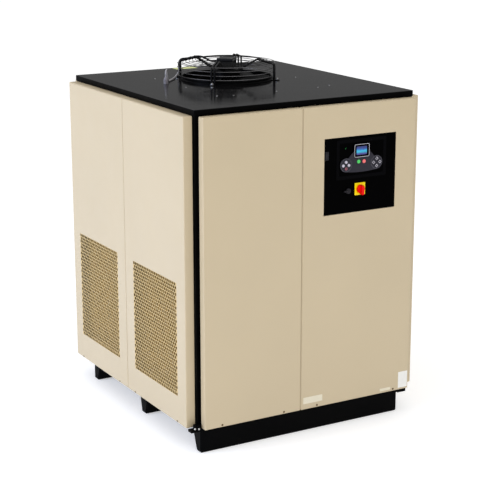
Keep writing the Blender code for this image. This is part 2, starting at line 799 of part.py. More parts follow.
def build_motor():
    """The still half of the motor hangs inside the rotor's cup from the guard's rods."""
    seat = MOTOR_MOUNT_Z - GUARD_ROD_R - GAP
    top = TERMINAL_BOX_Z - GAP
    flange_r, flange_thickness = MOTOR_FLANGE
    under_flange = seat - flange_thickness
    profile = [
        (0.0, top), (MOTOR_NECK_R, top), (MOTOR_NECK_R, seat), (flange_r, seat),
        (flange_r, under_flange), (MOTOR_R, under_flange), (MOTOR_R, MOTOR_BOTTOM), (0.0, MOTOR_BOTTOM),
    ]
    turned("fan_motor", profile, FAN_PLACE, BLACK_PAINT)


def on_rear_left_leg(radius, height):
    """A point in the middle plane of the rear left leg."""
    reach = radius * math.sqrt(0.5)
    return (FAN_X - reach, FAN_Y + reach, height)


def build_terminal_box():
    """The box on the motor, in line with the legs. The cable enters it from the rear left leg."""
    half = TERMINAL_BOX_SIDE / 2
    low = FAN_PLACE + Vector((-half, -half, TERMINAL_BOX_Z))
    high = FAN_PLACE + Vector((half, half, TERMINAL_BOX_Z + TERMINAL_BOX_HEIGHT))
    box = block("fan_terminal_box", low, high, BLACK_PLASTIC, bevel=0.005)
    box.rotation_euler.z = math.radians(45)
    inside = 0.002
    place_on_leg = half + (CABLE_ENTRY_REACH - inside) / 2
    entry = rod(
        "cable_entry", on_rear_left_leg(place_on_leg, TERMINAL_BOX_Z + TERMINAL_BOX_HEIGHT / 2),
        CABLE_ENTRY_R, CABLE_ENTRY_REACH + inside, "X", sides=12,
    )
    entry.rotation_euler.z = math.radians(135)
    weld(box, entry)


def build_roof_gland():
    seat = ROOF_TOP + GAP
    top = ROOF_GLAND_TOP
    nut_top = top - 0.024
    profile = [
        (0.0, top), (0.007, top), (0.0115, top - 0.008), (0.0125, top - 0.014), (0.0125, nut_top),
        (0.0135, nut_top), (0.0135, seat), (0.0, seat),
    ]
    turned("roof_gland", profile, (*ROOF_GLAND_PLACE, 0), GREY_CABLE, 16)


def build_fan_cable():
    """From the roof gland in a tight loop to the rear left leg, up between its rods, to the box."""
    gland_x, gland_y = ROOF_GLAND_PLACE
    entry_z = TERMINAL_BOX_Z + TERMINAL_BOX_HEIGHT / 2
    route = [
        (gland_x, gland_y, ROOF_GLAND_TOP + 2 * GAP), (gland_x, gland_y, 1.700),
        (-0.336, 0.146, 1.7115), (-0.328, 0.155, 1.7165), (-0.321, 0.166, 1.710),
        (-0.3175, 0.172, 1.690), (-0.312, 0.177, 1.670), (-0.302, 0.186, 1.6575),
        (-0.285, 0.203, 1.6555), (-0.235, 0.260, 1.6560), (-0.203, 0.299, 1.6585),
    ]
    up_the_leg = [
        (0.2605, 1.6760), (0.2585, 1.7000), (0.2575, 1.7240), (0.2450, 1.7420), (0.2150, 1.7472),
        (0.1850, 1.7546), (0.1620, 1.7600), (0.1350, 1.7590), (0.1080, 1.7480), (0.0850, 1.7385),
        (TERMINAL_BOX_SIDE / 2 + CABLE_ENTRY_REACH + 2 * GAP, entry_z),
    ]
    route += [on_rear_left_leg(radius, height) for radius, height in up_the_leg]
    tube("fan_cable", smooth_route(route, 2), CABLE_R, GREY_CABLE)


# ---------------------------------------------------------------- control door

def door_cutter(name, low, high, margin):
    """A cutter through the door and the plate, between two (x, z) corners."""
    return block(
        name,
        (low[0] - margin, DOOR_FACE - 0.01, low[1] - margin),
        (high[0] + margin, DOOR_BACK + 0.01, high[1] + margin),
    )


def shaft_cutter(name, x, z):
    return rod(name, (x, DOOR_FACE, z), SHAFT_HOLE_R, 0.03, "Y", sides=16)


def build_door_sheet(hinge):
    door = block(
        "control_door",
        (DOOR_LEFT, DOOR_FACE, DOOR_BOTTOM), (DOOR_RIGHT, DOOR_BACK, DOOR_TOP), BLACK_GLOSS,
    )
    plate = block(
        "controller_plate",
        (PLATE_LOW[0], PLATE_FACE, PLATE_LOW[1]), (PLATE_HIGH[0], DOOR_FACE - GAP, PLATE_HIGH[1]),
        BLACK_PLASTIC,
    )
    controller_hole = door_cutter("controller_hole", BODY_LOW, BODY_HIGH, BODY_CLEARANCE)
    cut(door, controller_hole)
    cut(plate, controller_hole)
    cut(door, shaft_cutter("switch_hole", SWITCH_X, SWITCH_Z))
    cut(door, shaft_cutter("selector_hole", SELECTOR_X, SELECTOR_Z))
    cut(door, door_cutter("latch_hole", LATCH_LOW, LATCH_HIGH, LATCH_CLEARANCE))
    carry(hinge, door, plate)


def housing_outline():
    """Two round ends under a dome, on a base that bows down a little between them."""
    middle = (LEFT_CLUSTER_X + RIGHT_CLUSTER_X) / 2
    reach = HOUSING_BASE_R - CLUSTER_R
    lean = math.degrees(math.asin((RIGHT_CLUSTER_X - middle) / reach))
    base_centre = (middle, CONTROLLER_Z + reach * math.cos(math.radians(lean)))
    left = arc((LEFT_CLUSTER_X, CONTROLLER_Z), CLUSTER_R, 270 - lean, 70, 10)
    dome = arc((DISPLAY_X, CONTROLLER_Z - 0.010), HOUSING_DOME_R, 145, 35, 9)
    right = arc((RIGHT_CLUSTER_X, CONTROLLER_Z), CLUSTER_R, 110, lean - 90, 10)
    base = arc(base_centre, HOUSING_BASE_R, lean - 90, -90 - lean, 7)
    return left + dome + right + base[1:-1]


def key_places():
    """Each key's name, centre, radius, number of sides and material."""
    keys = [
        ("start_button", *START_KEY, START_KEY_R, 12, GREEN_KEY),
        ("stop_button", *STOP_KEY, START_KEY_R, 12, RED_KEY),
    ]
    directions = (("top", 0, 1), ("left", -1, 0), ("right", 1, 0), ("bottom", 0, -1))
    for name, sx, sz in directions:
        material = DARK_RED_KEY if name == "bottom" else LIGHT_KEY
        x = LEFT_CLUSTER_X - 0.001 + FUNCTION_KEY_SPREAD * sx
        z = CONTROLLER_Z - 0.001 + FUNCTION_KEY_SPREAD * sz
        keys.append((f"function_key_{name}", x, z, FUNCTION_KEY_R, 12, material))
    for name, sx, sz in directions:
        name = {"top": "up", "bottom": "down"}.get(name, name)
        x = RIGHT_CLUSTER_X + ARROW_KEY_SPREAD * sx
        z = CONTROLLER_Z + ARROW_KEY_SPREAD * sz
        keys.append((f"arrow_key_{name}", x, z, ARROW_KEY_R, 4, GREY_PLASTIC))
    return keys


def build_display(hinge, housing):
    """Cuts the display's pocket into the housing and puts the lens in it."""
    centre = (DISPLAY_X, DISPLAY_Z)
    pocket_floor = HOUSING_FACE + 0.002
    window = [size - 2 * BEZEL_BORDER for size in BEZEL_SIZE]
    window_outline = rounded_rectangle(centre, window, WINDOW_CORNER_R, 3)
    cut(housing, upright_outline("display_pocket", window_outline, pocket_floor, HOUSING_FACE - 0.01))
    lens_size = [size - 2 * GAP for size in window]
    lens_outline = rounded_rectangle(centre, lens_size, WINDOW_CORNER_R, 3)
    lens_face = HOUSING_FACE - BEZEL_RAISE + 0.001
    lens = upright_outline("display_lens", lens_outline, pocket_floor - GAP, lens_face, DISPLAY_GLASS)
    carry(hinge, lens)


def build_keys(hinge, housing):
    """A pocket in the housing for each key, and the key in it."""
    chamfer = 0.0012
    for name, x, z, radius, sides, material in key_places():
        cut(housing, rod(
            f"pocket_{name}", (x, HOUSING_FACE, z), radius + KEY_CLEARANCE, 2 * KEY_POCKET,
            "Y", sides=sides,
        ))
        profile = [
            (0.0, 0.0), (radius - chamfer, 0.0), (radius, -0.001),
            (radius, -KEY_DEPTH), (0.0, -KEY_DEPTH),
        ]
        centre = (x, HOUSING_FACE - KEY_RAISE, z)
        carry(hinge, turned(name, profile, centre, material, sides, faces_front=True))


def build_controller(hinge):
    """A housing with a raised display bezel, and a body behind it that passes through the door."""
    housing = upright_outline(
        "controller_housing", housing_outline(), HOUSING_BACK, HOUSING_FACE, GREY_PLASTIC
    )
    body = block(
        "controller_body",
        (BODY_LOW[0], HOUSING_BACK - 0.0015, BODY_LOW[1]),
        (BODY_HIGH[0], DOOR_BACK + 0.040, BODY_HIGH[1]),
    )
    bezel_outline = rounded_rectangle((DISPLAY_X, DISPLAY_Z), BEZEL_SIZE, BEZEL_CORNER_R)
    bezel = upright_outline("bezel", bezel_outline, HOUSING_BACK - 0.0008, HOUSING_FACE - BEZEL_RAISE)
    weld(housing, bezel, body)
    build_display(hinge, housing)
    build_keys(hinge, housing)
    carry(hinge, housing)


def square_corners(x, z, side, near, far):
    """Corners of a square block round (x, z), between two depths."""
    return (x - side / 2, near, z - side / 2), (x + side / 2, far, z + side / 2)


def build_main_switch(hinge):
    """Rotary isolator: a square plate, a knob with an upright grip, and the switch behind."""
    corners = square_corners(SWITCH_X, SWITCH_Z, SWITCH_PLATE, SWITCH_PLATE_FACE, DOOR_FACE - GAP)
    plate = block("switch_plate", *corners, YELLOW_PLASTIC, bevel=0.0012)
    cut(plate, shaft_cutter("plate_hole", SWITCH_X, SWITCH_Z))
    seat = SWITCH_PLATE_FACE - GAP
    disc = [
        (0.0, 0.014), (SWITCH_KNOB_R - 0.002, 0.014), (SWITCH_KNOB_R, 0.012),
        (SWITCH_KNOB_R, 0.0), (0.0, 0.0),
    ]
    knob = turned("switch_knob", disc, (SWITCH_X, seat, SWITCH_Z), RED_PLASTIC, faces_front=True)
    half = SWITCH_GRIP_WIDTH / 2
    grip = block(
        "knob_grip",
        (SWITCH_X - half, DOOR_FACE - SWITCH_REACH, SWITCH_Z - SWITCH_GRIP_BELOW),
        (SWITCH_X + half, seat - 0.006, SWITCH_Z + SWITCH_GRIP_ABOVE),
        bevel=0.003,
    )
    shaft_start = seat - 0.005
    shaft_end = DOOR_BACK + 0.015
    shaft = rod(
        "knob_shaft", (SWITCH_X, (shaft_start + shaft_end) / 2, SWITCH_Z), SHAFT_R,
        shaft_end - shaft_start, "Y", sides=12,
    )
    weld(knob, grip, shaft)
    side, depth = SWITCH_BODY
    corners = square_corners(SWITCH_X, SWITCH_Z, side, DOOR_BACK + GAP, DOOR_BACK + depth)
    body = block("main_switch", *corners, BLACK_PLASTIC, bevel=0.002)
    bore = rod("switch_bore", (SWITCH_X, DOOR_BACK, SWITCH_Z), SHAFT_HOLE_R, 0.034, "Y", sides=16)
    cut(body, bore)
    carry(hinge, plate, knob, body)


def build_selector(hinge):
    """A small rotary selector: a round knob whose pointer reaches to the left."""
    seat = DOOR_FACE - GAP
    x, z, radius = SELECTOR_X, SELECTOR_Z, SELECTOR_R
    disc = [(0.0, 0.009), (radius - 0.002, 0.009), (radius, 0.007), (radius, 0.0), (0.0, 0.0)]
    knob = turned("selector_knob", disc, (x, seat, z), BLACK_PLASTIC, 20, faces_front=True)
    tip = x - POINTER_REACH
    outline = [(x, z - 0.006), (x, z + 0.006), (tip, z + 0.0025), (tip, z - 0.0025)]
    pointer = upright_outline("selector_pointer", outline, seat - 0.002, seat - 0.012)
    shaft = rod("selector_shaft", (x, DOOR_BACK + 0.003, z), SHAFT_R, 0.016, "Y", sides=12)
    weld(knob, pointer, shaft)
    carry(hinge, knob)


def build_latch(hinge):
    """The door's flush pull: a small flap that tips out about its right edge."""
    face = DOOR_FACE + 0.0002
    back = DOOR_BACK - GAP
    low = (LATCH_LOW[0], face, LATCH_LOW[1])
    high = (LATCH_HIGH[0], back, LATCH_HIGH[1])
    flap = block("latch_flap", low, high, GREY_PLASTIC)
    pivot_place = (LATCH_HIGH[0] - 0.0005, DOOR_FACE + 0.001, (LATCH_LOW[1] + LATCH_HIGH[1]) / 2)
    pivot = hinge_point("latch_pivot", pivot_place)
    carry(pivot, flap)
    carry(hinge, pivot)


def build_control_door():
    hinge = hinge_point("door_hinge", (HINGE_X, DOOR_FACE, (DOOR_BOTTOM + DOOR_TOP) / 2))
    build_door_sheet(hinge)
    build_controller(hinge)
    build_main_switch(hinge)
    build_selector(hinge)
    build_latch(hinge)
    tray(
        "electrical_box",
        (BOX_LOW[0], DOOR_BACK - 0.0005, BOX_LOW[1]), (BOX_HIGH[0], BOX_BACK, BOX_HIGH[1]),
        (0, -1, 0), BOX_SHEET, 0.0, GALVANISED,
    )


# ---------------------------------------------------------------- refrigeration and air parts

def vessel(name, x, y, radius, top, port_radius, material, steps=20):
    """A turned pressure vessel with a domed top, a port at the top and a skirt to stand on."""
    wall = 0.005
    bottom = PANEL_BOTTOM
    dome = 0.4 * radius
    profile = [
        (port_radius, top), (0.45 * radius, top - 0.10 * dome), (0.8 * radius, top - 0.45 * dome),
        (radius, top - dome), (radius, bottom), (radius - wall, bottom),
        (radius - wall, top - dome - wall), (0.8 * radius - wall, top - 0.5 * dome - wall),
        (port_radius, top - wall),
    ]
    return turned(name, profile, (x, y, 0), material, steps)


def build_air_pipe(name, x):
    """A flanged pipe from the rear of the cabinet, through an elbow, down to the exchanger."""
    bottom = EXCHANGER_TOP + GAP
    corners = [(x, REAR_REACH - 0.001, PIPE_Z), (x, PIPE_Y, PIPE_Z), (x, PIPE_Y, bottom)]
    pipe = mesh_tube(name, rounded_path(corners, ELBOW_R), PIPE_R, STEEL, 4)
    flange_centre = (x, REAR_REACH - FLANGE_THICKNESS / 2, PIPE_Z)
    flange = rod(f"flange_{name}", flange_centre, FLANGE_R, FLANGE_THICKNESS, "Y")
    weld(pipe, flange)
    long_corners = [(x, REAR_REACH + 0.05, PIPE_Z), corners[1], (x, PIPE_Y, bottom - 0.05)]
    bore = mesh_tube(f"bore_{name}", rounded_path(long_corners, ELBOW_R), PIPE_BORE_R, None, 4)
    cut(pipe, bore)
    for index in range(4):
        a = math.radians(45 + 90 * index)
        centre = (
            x + FLANGE_BOLT_CIRCLE_R * math.cos(a), REAR_REACH,
            PIPE_Z + FLANGE_BOLT_CIRCLE_R * math.sin(a),
        )
        hole = rod(f"bolt_hole_{name}_{index}", centre, FLANGE_BOLT_HOLE_R, 0.1, "Y", sides=8)
        cut(pipe, hole)


def build_air_side():
    block(
        "heat_exchanger",
        (*EXCHANGER_LOW, PANEL_BOTTOM), (*EXCHANGER_HIGH, EXCHANGER_TOP), FOAM, bevel=0.01,
    )
    vessel("moisture_separator", SEPARATOR_X, SEPARATOR_Y, SEPARATOR_R, SEPARATOR_TOP, 0.020, STEEL)
    for name, x in PIPE_XS.items():
        build_air_pipe(name, x)


def build_condensers():
    """One finned coil slab behind the grilles of each side."""
    for side_name, sx in (("left", -1), ("right", 1)):
        ends = sorted((sx * CONDENSER_X, sx * (CONDENSER_X + CONDENSER_THICKNESS)))
        block(
            f"condenser_{side_name}",
            (ends[0], -CONDENSER_LENGTH / 2, CONDENSER_BOTTOM),
            (ends[1], CONDENSER_LENGTH / 2, CONDENSER_TOP), ALUMINIUM,
        )


def build_refrigeration():
    vessel("compressor", COMPRESSOR_X, COMPRESSOR_Y, COMPRESSOR_R, COMPRESSOR_TOP, 0.006, BLACK_PAINT)
    vessel("liquid_receiver", RECEIVER_X, RECEIVER_Y, RECEIVER_R, RECEIVER_TOP, 0.004, BLACK_PAINT, 16)
    build_condensers()
    build_refrigerant_lines()


def build_refrigerant_lines():
    """Copper lines: compressor to condenser, exchanger to compressor, receiver to exchanger."""
    coil_x = -CONDENSER_X - CONDENSER_THICKNESS / 2
    high_run = 0.940
    discharge = [
        (COMPRESSOR_X, COMPRESSOR_Y, COMPRESSOR_TOP + GAP), (COMPRESSOR_X, COMPRESSOR_Y, high_run),
        (coil_x, COMPRESSOR_Y, high_run), (coil_x, COMPRESSOR_Y, CONDENSER_TOP + GAP),
    ]
    tube("discharge_line", rounded_path(discharge, 0.030), 0.008, COPPER)
    exchanger_side = EXCHANGER_LOW[0] - GAP
    aisle_x = -0.050
    suction = [
        (exchanger_side, 0.150, 0.600), (aisle_x, 0.150, 0.600),
        (aisle_x, COMPRESSOR_Y, 0.350), (COMPRESSOR_X + COMPRESSOR_R + 0.001, COMPRESSOR_Y, 0.350),
    ]
    tube("suction_line", rounded_path(suction, 0.045), 0.014, COPPER)
    liquid = [
        (RECEIVER_X, RECEIVER_Y, RECEIVER_TOP + GAP), (RECEIVER_X, RECEIVER_Y, 0.660),
        (aisle_x, RECEIVER_Y, 0.660), (aisle_x, RECEIVER_Y, 0.480), (exchanger_side, RECEIVER_Y, 0.480),
    ]
    tube("liquid_line", rounded_path(liquid, 0.025), 0.006, COPPER)


# ---------------------------------------------------------------- rear fittings

def build_drain():
    """Condensate ball valve on the rear panel, with its lever across the flow when shut."""
    back = CABINET_DEPTH / 2 + GAP
    reach = REAR_REACH - back
    middle = (DRAIN_X, back + reach / 2, DRAIN_Z)
    valve = rod("drain_valve", middle, DRAIN_VALVE_R, reach, "Y", BRASS, sides=16)
    stem = rod("valve_stem", (DRAIN_X, middle[1], DRAIN_Z + 0.010), 0.006, 0.016, "Z", sides=12)
    bore = rod("valve_bore", (DRAIN_X, REAR_REACH, DRAIN_Z), 0.007, 0.020, "Y", sides=12)
    weld(valve, stem)
    cut(valve, bore)
    top = DRAIN_Z + 0.018 + GAP
    lever = place("drain_lever", cube_mesh(LEVER_SIZE), RED_GRIP)
    for vert in lever.data.vertices:
        vert.co.x += LEVER_OFFSET
    lever.location = (DRAIN_X, middle[1], top + LEVER_SIZE[2] / 2)
    line = [
        (SEPARATOR_X + SEPARATOR_R + GAP, SEPARATOR_Y, 0.200), (0.535, SEPARATOR_Y, 0.200),
        (0.535, 0.500, DRAIN_Z), (DRAIN_X, 0.560, DRAIN_Z), (DRAIN_X, back - 2 * GAP, DRAIN_Z),
    ]
    tube("drain_line", rounded_path(line, 0.025), 0.006, COPPER)


def build_power_gland():
    profile = [
        (0.0, 0.026), (0.008, 0.026), (0.0145, 0.022), (0.0165, 0.014), (0.0165, 0.004),
        (0.0195, 0.004), (0.0195, 0.0), (0.0, 0.0),
    ]
    seat = (GLAND_X, CABINET_DEPTH / 2 + GAP, GLAND_Z)
    gland = turned("power_gland", profile, seat, GREY_CABLE, 16)
    gland.rotation_euler = FACE_Y.inverted().to_euler()


build_base()
build_posts()
build_roof()
build_side_panels()
build_end_panels()
build_shroud()
build_guard()
build_impeller()
build_motor()
build_terminal_box()
build_roof_gland()
build_fan_cable()
build_control_door()
build_air_side()
build_refrigeration()
build_drain()
build_power_gland()
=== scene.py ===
"""Looks of the refrigerated air dryer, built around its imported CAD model.

Metres, +Z up, front towards -Y. Every new piece is built in the frame's own coordinates, and its
sizes come from the CAD nodes' boxes and from the few driving dimensions below.
"""

import math

import bmesh
import bpy
from mathutils import Matrix, Vector


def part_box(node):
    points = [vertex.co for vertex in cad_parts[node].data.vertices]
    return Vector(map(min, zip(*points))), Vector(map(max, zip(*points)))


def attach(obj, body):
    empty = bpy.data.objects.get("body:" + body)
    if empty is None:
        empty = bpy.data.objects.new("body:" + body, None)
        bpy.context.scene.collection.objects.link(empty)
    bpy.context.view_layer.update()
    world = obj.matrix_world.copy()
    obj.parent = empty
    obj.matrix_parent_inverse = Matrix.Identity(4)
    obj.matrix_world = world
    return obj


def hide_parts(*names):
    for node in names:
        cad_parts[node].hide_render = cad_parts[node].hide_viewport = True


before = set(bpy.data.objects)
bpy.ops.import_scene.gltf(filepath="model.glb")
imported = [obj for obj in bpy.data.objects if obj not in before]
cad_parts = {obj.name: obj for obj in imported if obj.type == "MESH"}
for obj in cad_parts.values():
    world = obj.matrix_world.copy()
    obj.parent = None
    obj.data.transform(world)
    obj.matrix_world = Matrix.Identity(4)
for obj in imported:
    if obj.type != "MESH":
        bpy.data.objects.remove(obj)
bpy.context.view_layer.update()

# ---------------------------------------------------------------- driving dimensions

WORLD_STRENGTH = 0.70
SKIN = 0.0003                       # how far a sticker or a lit part lies proud of its surface
CUT_REACH = 0.02                    # how far a cutter reaches to each side of the sheet it cuts

PANEL_SHEET = 0.0015
PANEL_BEND = 0.005
SIDE_INSET = 0.0005                 # leaves room for the side screws' heads inside the CAD box

HOLE_PITCH = 0.01905                # perforation: 3/4 inch apart, in rows at 60 degrees
ROW_PITCH = HOLE_PITCH * math.sin(math.radians(60))
HOLE_R = 0.0080
HOLE_SIDES = 16
GRILLE_ROWS = 34
GRILLE_HOLES = 24                   # in each row; every second row starts half a pitch later
GRILLE_WIDTH = HOLE_PITCH * (GRILLE_HOLES + 0.5)
GRILLE_HEIGHT = ROW_PITCH * GRILLE_ROWS
GRILLE_MIDDLE_Y = 0.324
GRILLE_MIDDLE_Z = 0.543

COIL_SILL_DEPTH = 0.044
SEAM_HALF = 0.0012                  # half the width of the strips that fill the seams
SEAM_STRIP_DEPTH = 0.0015
SCREW_R = 0.0055
SCREW_HEIGHT = 0.0016
END_SCREW_XS = (-0.495, -0.152, 0.038, 0.496)
END_SCREW_Z = 0.137
SIDE_SCREW_YS = (-0.550, -0.086, 0.098, 0.557)
SIDE_SCREW_Z = 0.133
ROOF_SCREWS = (
    (-0.310, 0.323), (-0.313, -0.026), (-0.317, -0.351), (-0.239, -0.374),
    (0.007, -0.363), (0.254, -0.350), (0.337, -0.326), (0.346, 0.008),
)
CORNER_FOOT_LOW = (-0.626, -0.685)  # the front left post's foot, seen from above
CORNER_FOOT_HIGH = (-0.596, -0.6585)
CORNER_FOOT_HEIGHT = 0.024
CORNER_BOLTS = ((-0.629, 0.0080), (-0.608, 0.0045))     # across, and above the foot

FAN_X = 0.015
FAN_Y = 0.148
FAN_OPENING_R = 0.236
SHROUD_R = 0.228
GUARD_R = 0.252
GUARD_ROD_R = 0.004
GUARD_WIRE_R = 0.0015
LEG_WIRE_R = 0.0047                 # the legs' rods are coated
GUARD_ROD_SPACING = 0.016
GUARD_RING_PITCH = 0.0208
CROWN_RING_PITCH = 0.0165
GUARD_CROWN_R = 0.163               # where the rods stop rising and dip to the motor
GUARD_CROWN_RISE = 0.019
GUARD_HEIGHT = 0.087
GUARD_DIP = 0.049
GUARD_DIP_R = 0.083                 # where the rods are nearly down on the motor
GUARD_BEND = 0.015
HUB_R = 0.070
BLADE_TIP_R = 0.222
BLADE_COUNT = 7
BLADE_SHEET = 0.003
BLADE_MIDDLE_Z = 1.646
TERMINAL_BOX_SIDE = 0.086           # the box stands corner to the front, in line with the legs
CABLE_ENTRY_REACH = 0.014
CABLE_R = 0.0045
SLEEVE_SHEET = 0.0005

DOOR_GAP = 0.0025
BODY_LOW = (0.2055, 1.300)          # the part of the controller that passes through the door
BODY_HIGH = (0.3375, 1.362)
BODY_CLEARANCE = 0.001
LATCH_CLEARANCE = 0.0015
PLATE_BORDER = 0.017
PLATE_RAISE = 0.0006                # how far the controller's frame stands over its field
CLUSTER_Z = 1.327
LEFT_CLUSTER_X = 0.1835
RIGHT_CLUSTER_X = 0.359
CLUSTER_R = 0.0335
HOUSING_BASE_R = 0.660              # the base bows down a little between the round ends
HOUSING_DOME_R = 0.083
DISPLAY_X = 0.271
DISPLAY_Z = 1.392
BEZEL_SIZE = (0.087, 0.064)
BEZEL_BORDER = 0.004
BEZEL_RAISE = 0.003
BEZEL_TRIM = 0.0019                 # width of the silver line round the bezel
BEZEL_TRIM_RAISE = 0.0003
SCREEN_SIZE = (0.059, 0.041)
START_KEY = (0.2545, 1.339)
STOP_KEY = (0.2855, 1.338)
FUNCTION_KEY_SPREAD = 0.016
ARROW_KEY_SPREAD = 0.018
SWITCH_X = 0.2685
SWITCH_Z = 1.2035
SWITCH_KNOB_R = 0.0208
SWITCH_GRIP_WIDTH = 0.014
SELECTOR_X = 0.2005
SELECTOR_Z = 1.199
SELECTOR_R = 0.013
POINTER_REACH = 0.0265
SHAFT_R = 0.005
SHAFT_BORE_R = 0.006

PIPE_Z = 1.250
PIPE_R = 0.04445
PIPE_BORE_R = 0.039
FLANGE_R = 0.095
FLANGE_THICKNESS = 0.024
BOLT_CIRCLE_R = 0.0762
BOLT_HOLE_R = 0.0095
PIPE_ELBOW_Y = 0.185
PIPE_BEND_R = 0.114
PIPE_HOLE_R = 0.050                 # the holes in the rear panels
GLAND_HOLE_R = 0.0135
DRAIN_HOLE_R = 0.010
DRAIN_X = 0.450
DRAIN_Z = 0.220

ROOF_LOW, ROOF_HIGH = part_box("roof_panel")
ROOF_TOP = ROOF_HIGH.z
PANEL_LOW, PANEL_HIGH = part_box("front_panel_left")
FRONT_FACE = PANEL_LOW.y
SIDE_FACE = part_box("side_panel_right_front")[1].x
FAN_PLACE = Vector((FAN_X, FAN_Y, 0.0))
GUARD_TOP = ROOF_TOP + GUARD_HEIGHT
MOTOR_MOUNT_Z = GUARD_TOP + GUARD_CROWN_RISE - GUARD_DIP


# ---------------------------------------------------------------- camera, light and floor

def build_camera():
    """The photograph's view: a long lens, from the front left and a little above the roof."""
    camera = bpy.data.objects.new("camera", bpy.data.cameras.new("camera"))
    camera.location = (-3.613, -6.357, 2.692)
    yaw, pitch = math.radians(30.07), math.radians(-14.72)
    forward = Vector((
        math.sin(yaw) * math.cos(pitch), math.cos(yaw) * math.cos(pitch), math.sin(pitch)
    ))
    camera.rotation_euler = forward.to_track_quat("-Z", "Y").to_euler()
    camera.data.lens = 104.24
    camera.data.sensor_width = 36.0
    bpy.context.scene.collection.objects.link(camera)
    bpy.context.scene.camera = camera


def area_light(name, location, target, size, power, color=(1.0, 1.0, 1.0)):
    light = bpy.data.lights.new(name, "AREA")
    light.shape = "RECTANGLE"
    light.size, light.size_y = size
    light.energy = power
    light.color = color
    obj = bpy.data.objects.new(name, light)
    obj.location = location
    direction = Vector(target) - Vector(location)
    obj.rotation_euler = direction.to_track_quat("-Z", "Y").to_euler()
    bpy.context.scene.collection.objects.link(obj)


def build_lights():
    """A white room above a darker horizon, a tall soft box on the left and one in front."""
    world = bpy.data.worlds.new("studio")
    world.use_nodes = True
    tree = world.node_tree
    place = tree.nodes.new("ShaderNodeTexCoord")
    split = tree.nodes.new("ShaderNodeSeparateXYZ")
    tree.links.new(place.outputs["Generated"], split.inputs["Vector"])
    tones = tree.nodes.new("ShaderNodeValToRGB")
    tree.links.new(split.outputs["Z"], tones.inputs["Fac"])
    stops = ((0.0, 1.0), (0.03, 0.24), (0.32, 0.24), (0.50, 1.30))
    elements = tones.color_ramp.elements
    while len(elements) < len(stops):
        elements.new(1.0)
    for element, (position, tone) in zip(elements, stops):
        element.position = position
        element.color = (tone, tone, tone, 1.0)
    background = tree.nodes["Background"]
    tree.links.new(tones.outputs["Color"], background.inputs["Color"])
    background.inputs["Strength"].default_value = WORLD_STRENGTH
    bpy.context.scene.world = world
    bpy.context.scene.view_settings.view_transform = "Standard"
    cool = (0.815, 0.955, 1.33)
    area_light("soft_box_left", (-6.5, 0.5, 3.0), (0, 0, 0.9), (3.5, 3.5), 196, cool)
    area_light("soft_box_front", (-1.5, -8.0, 5.5), (0, 0, 0.8), (5.0, 3.0), 153)


def build_floor():
    bm = bmesh.new()
    bmesh.ops.create_grid(bm, x_segments=1, y_segments=1, size=30.0)
    floor = new_object("floor", bm)
    floor.data.materials.append(floor_material())


# ---------------------------------------------------------------- material helpers

def new_material(name, color, roughness, metallic=0.0, specular=0.5):
    material = bpy.data.materials.new(name)
    material.use_nodes = True
    shader = material.node_tree.nodes["Principled BSDF"]
    shader.inputs["Base Color"].default_value = (*color, 1.0)
    shader.inputs["Roughness"].default_value = roughness
    shader.inputs["Metallic"].default_value = metallic
    shader.inputs["Specular IOR Level"].default_value = specular
    return material


def shader_of(material):
    return material.node_tree.nodes["Principled BSDF"]


def coordinates(material, stretch=(1.0, 1.0, 1.0)):
    """The piece's own coordinates in metres, stretched along each axis."""
    nodes, links = material.node_tree.nodes, material.node_tree.links
    place = nodes.new("ShaderNodeTexCoord")
    mapping = nodes.new("ShaderNodeMapping")
    mapping.inputs["Scale"].default_value = stretch
    links.new(place.outputs["Object"], mapping.inputs["Vector"])
    return mapping.outputs["Vector"]


def noise(material, scale, detail=2.0, stretch=(1.0, 1.0, 1.0)):
    node = material.node_tree.nodes.new("ShaderNodeTexNoise")
    node.inputs["Scale"].default_value = scale
    node.inputs["Detail"].default_value = detail
    material.node_tree.links.new(coordinates(material, stretch), node.inputs["Vector"])
    return node.outputs["Fac"]


def remap(material, value, low, high, start=0.3, end=0.7):
    node = material.node_tree.nodes.new("ShaderNodeMapRange")
    node.inputs["From Min"].default_value = start
    node.inputs["From Max"].default_value = end
    node.inputs["To Min"].default_value = low
    node.inputs["To Max"].default_value = high
    material.node_tree.links.new(value, node.inputs["Value"])
    return node.outputs["Result"]


def ramp(material, value, stops):
    """A colour ramp. stops is (position, (r, g, b)) pairs."""
    node = material.node_tree.nodes.new("ShaderNodeValToRGB")
    elements = node.color_ramp.elements
    while len(elements) < len(stops):
        elements.new(1.0)
    for element, (position, color) in zip(elements, stops):
        element.position = position
        element.color = (*color, 1.0)
    material.node_tree.links.new(value, node.inputs["Fac"])
    return node.outputs["Color"]


def shade(color, factor):
    return tuple(min(1.0, channel * factor) for channel in color)


def vary_color(material, color, amount, scale, stretch=(1.0, 1.0, 1.0)):
    """Cloudy colour variation of +- amount."""
    value = noise(material, scale, 3.0, stretch)
    stops = [(0.3, shade(color, 1 - amount)), (0.7, shade(color, 1 + amount))]
    link_input(material, ramp(material, value, stops), "Base Color")


def vary_roughness(material, low, high, scale, stretch=(1.0, 1.0, 1.0)):
    value = noise(material, scale, 3.0, stretch)
    link_input(material, remap(material, value, low, high), "Roughness")


def link_input(material, output, name):
    material.node_tree.links.new(output, shader_of(material).inputs[name])


def add_bump(material, height, strength, distance):
    """Adds relief over any relief that the material already has."""
    tree = material.node_tree
    node = tree.nodes.new("ShaderNodeBump")
    node.inputs["Strength"].default_value = strength
    node.inputs["Distance"].default_value = distance
    tree.links.new(height, node.inputs["Height"])
    normal = shader_of(material).inputs["Normal"]
    if normal.is_linked:
        tree.links.new(normal.links[0].from_socket, node.inputs["Normal"])
    tree.links.new(node.outputs["Normal"], normal)


# ---------------------------------------------------------------- materials

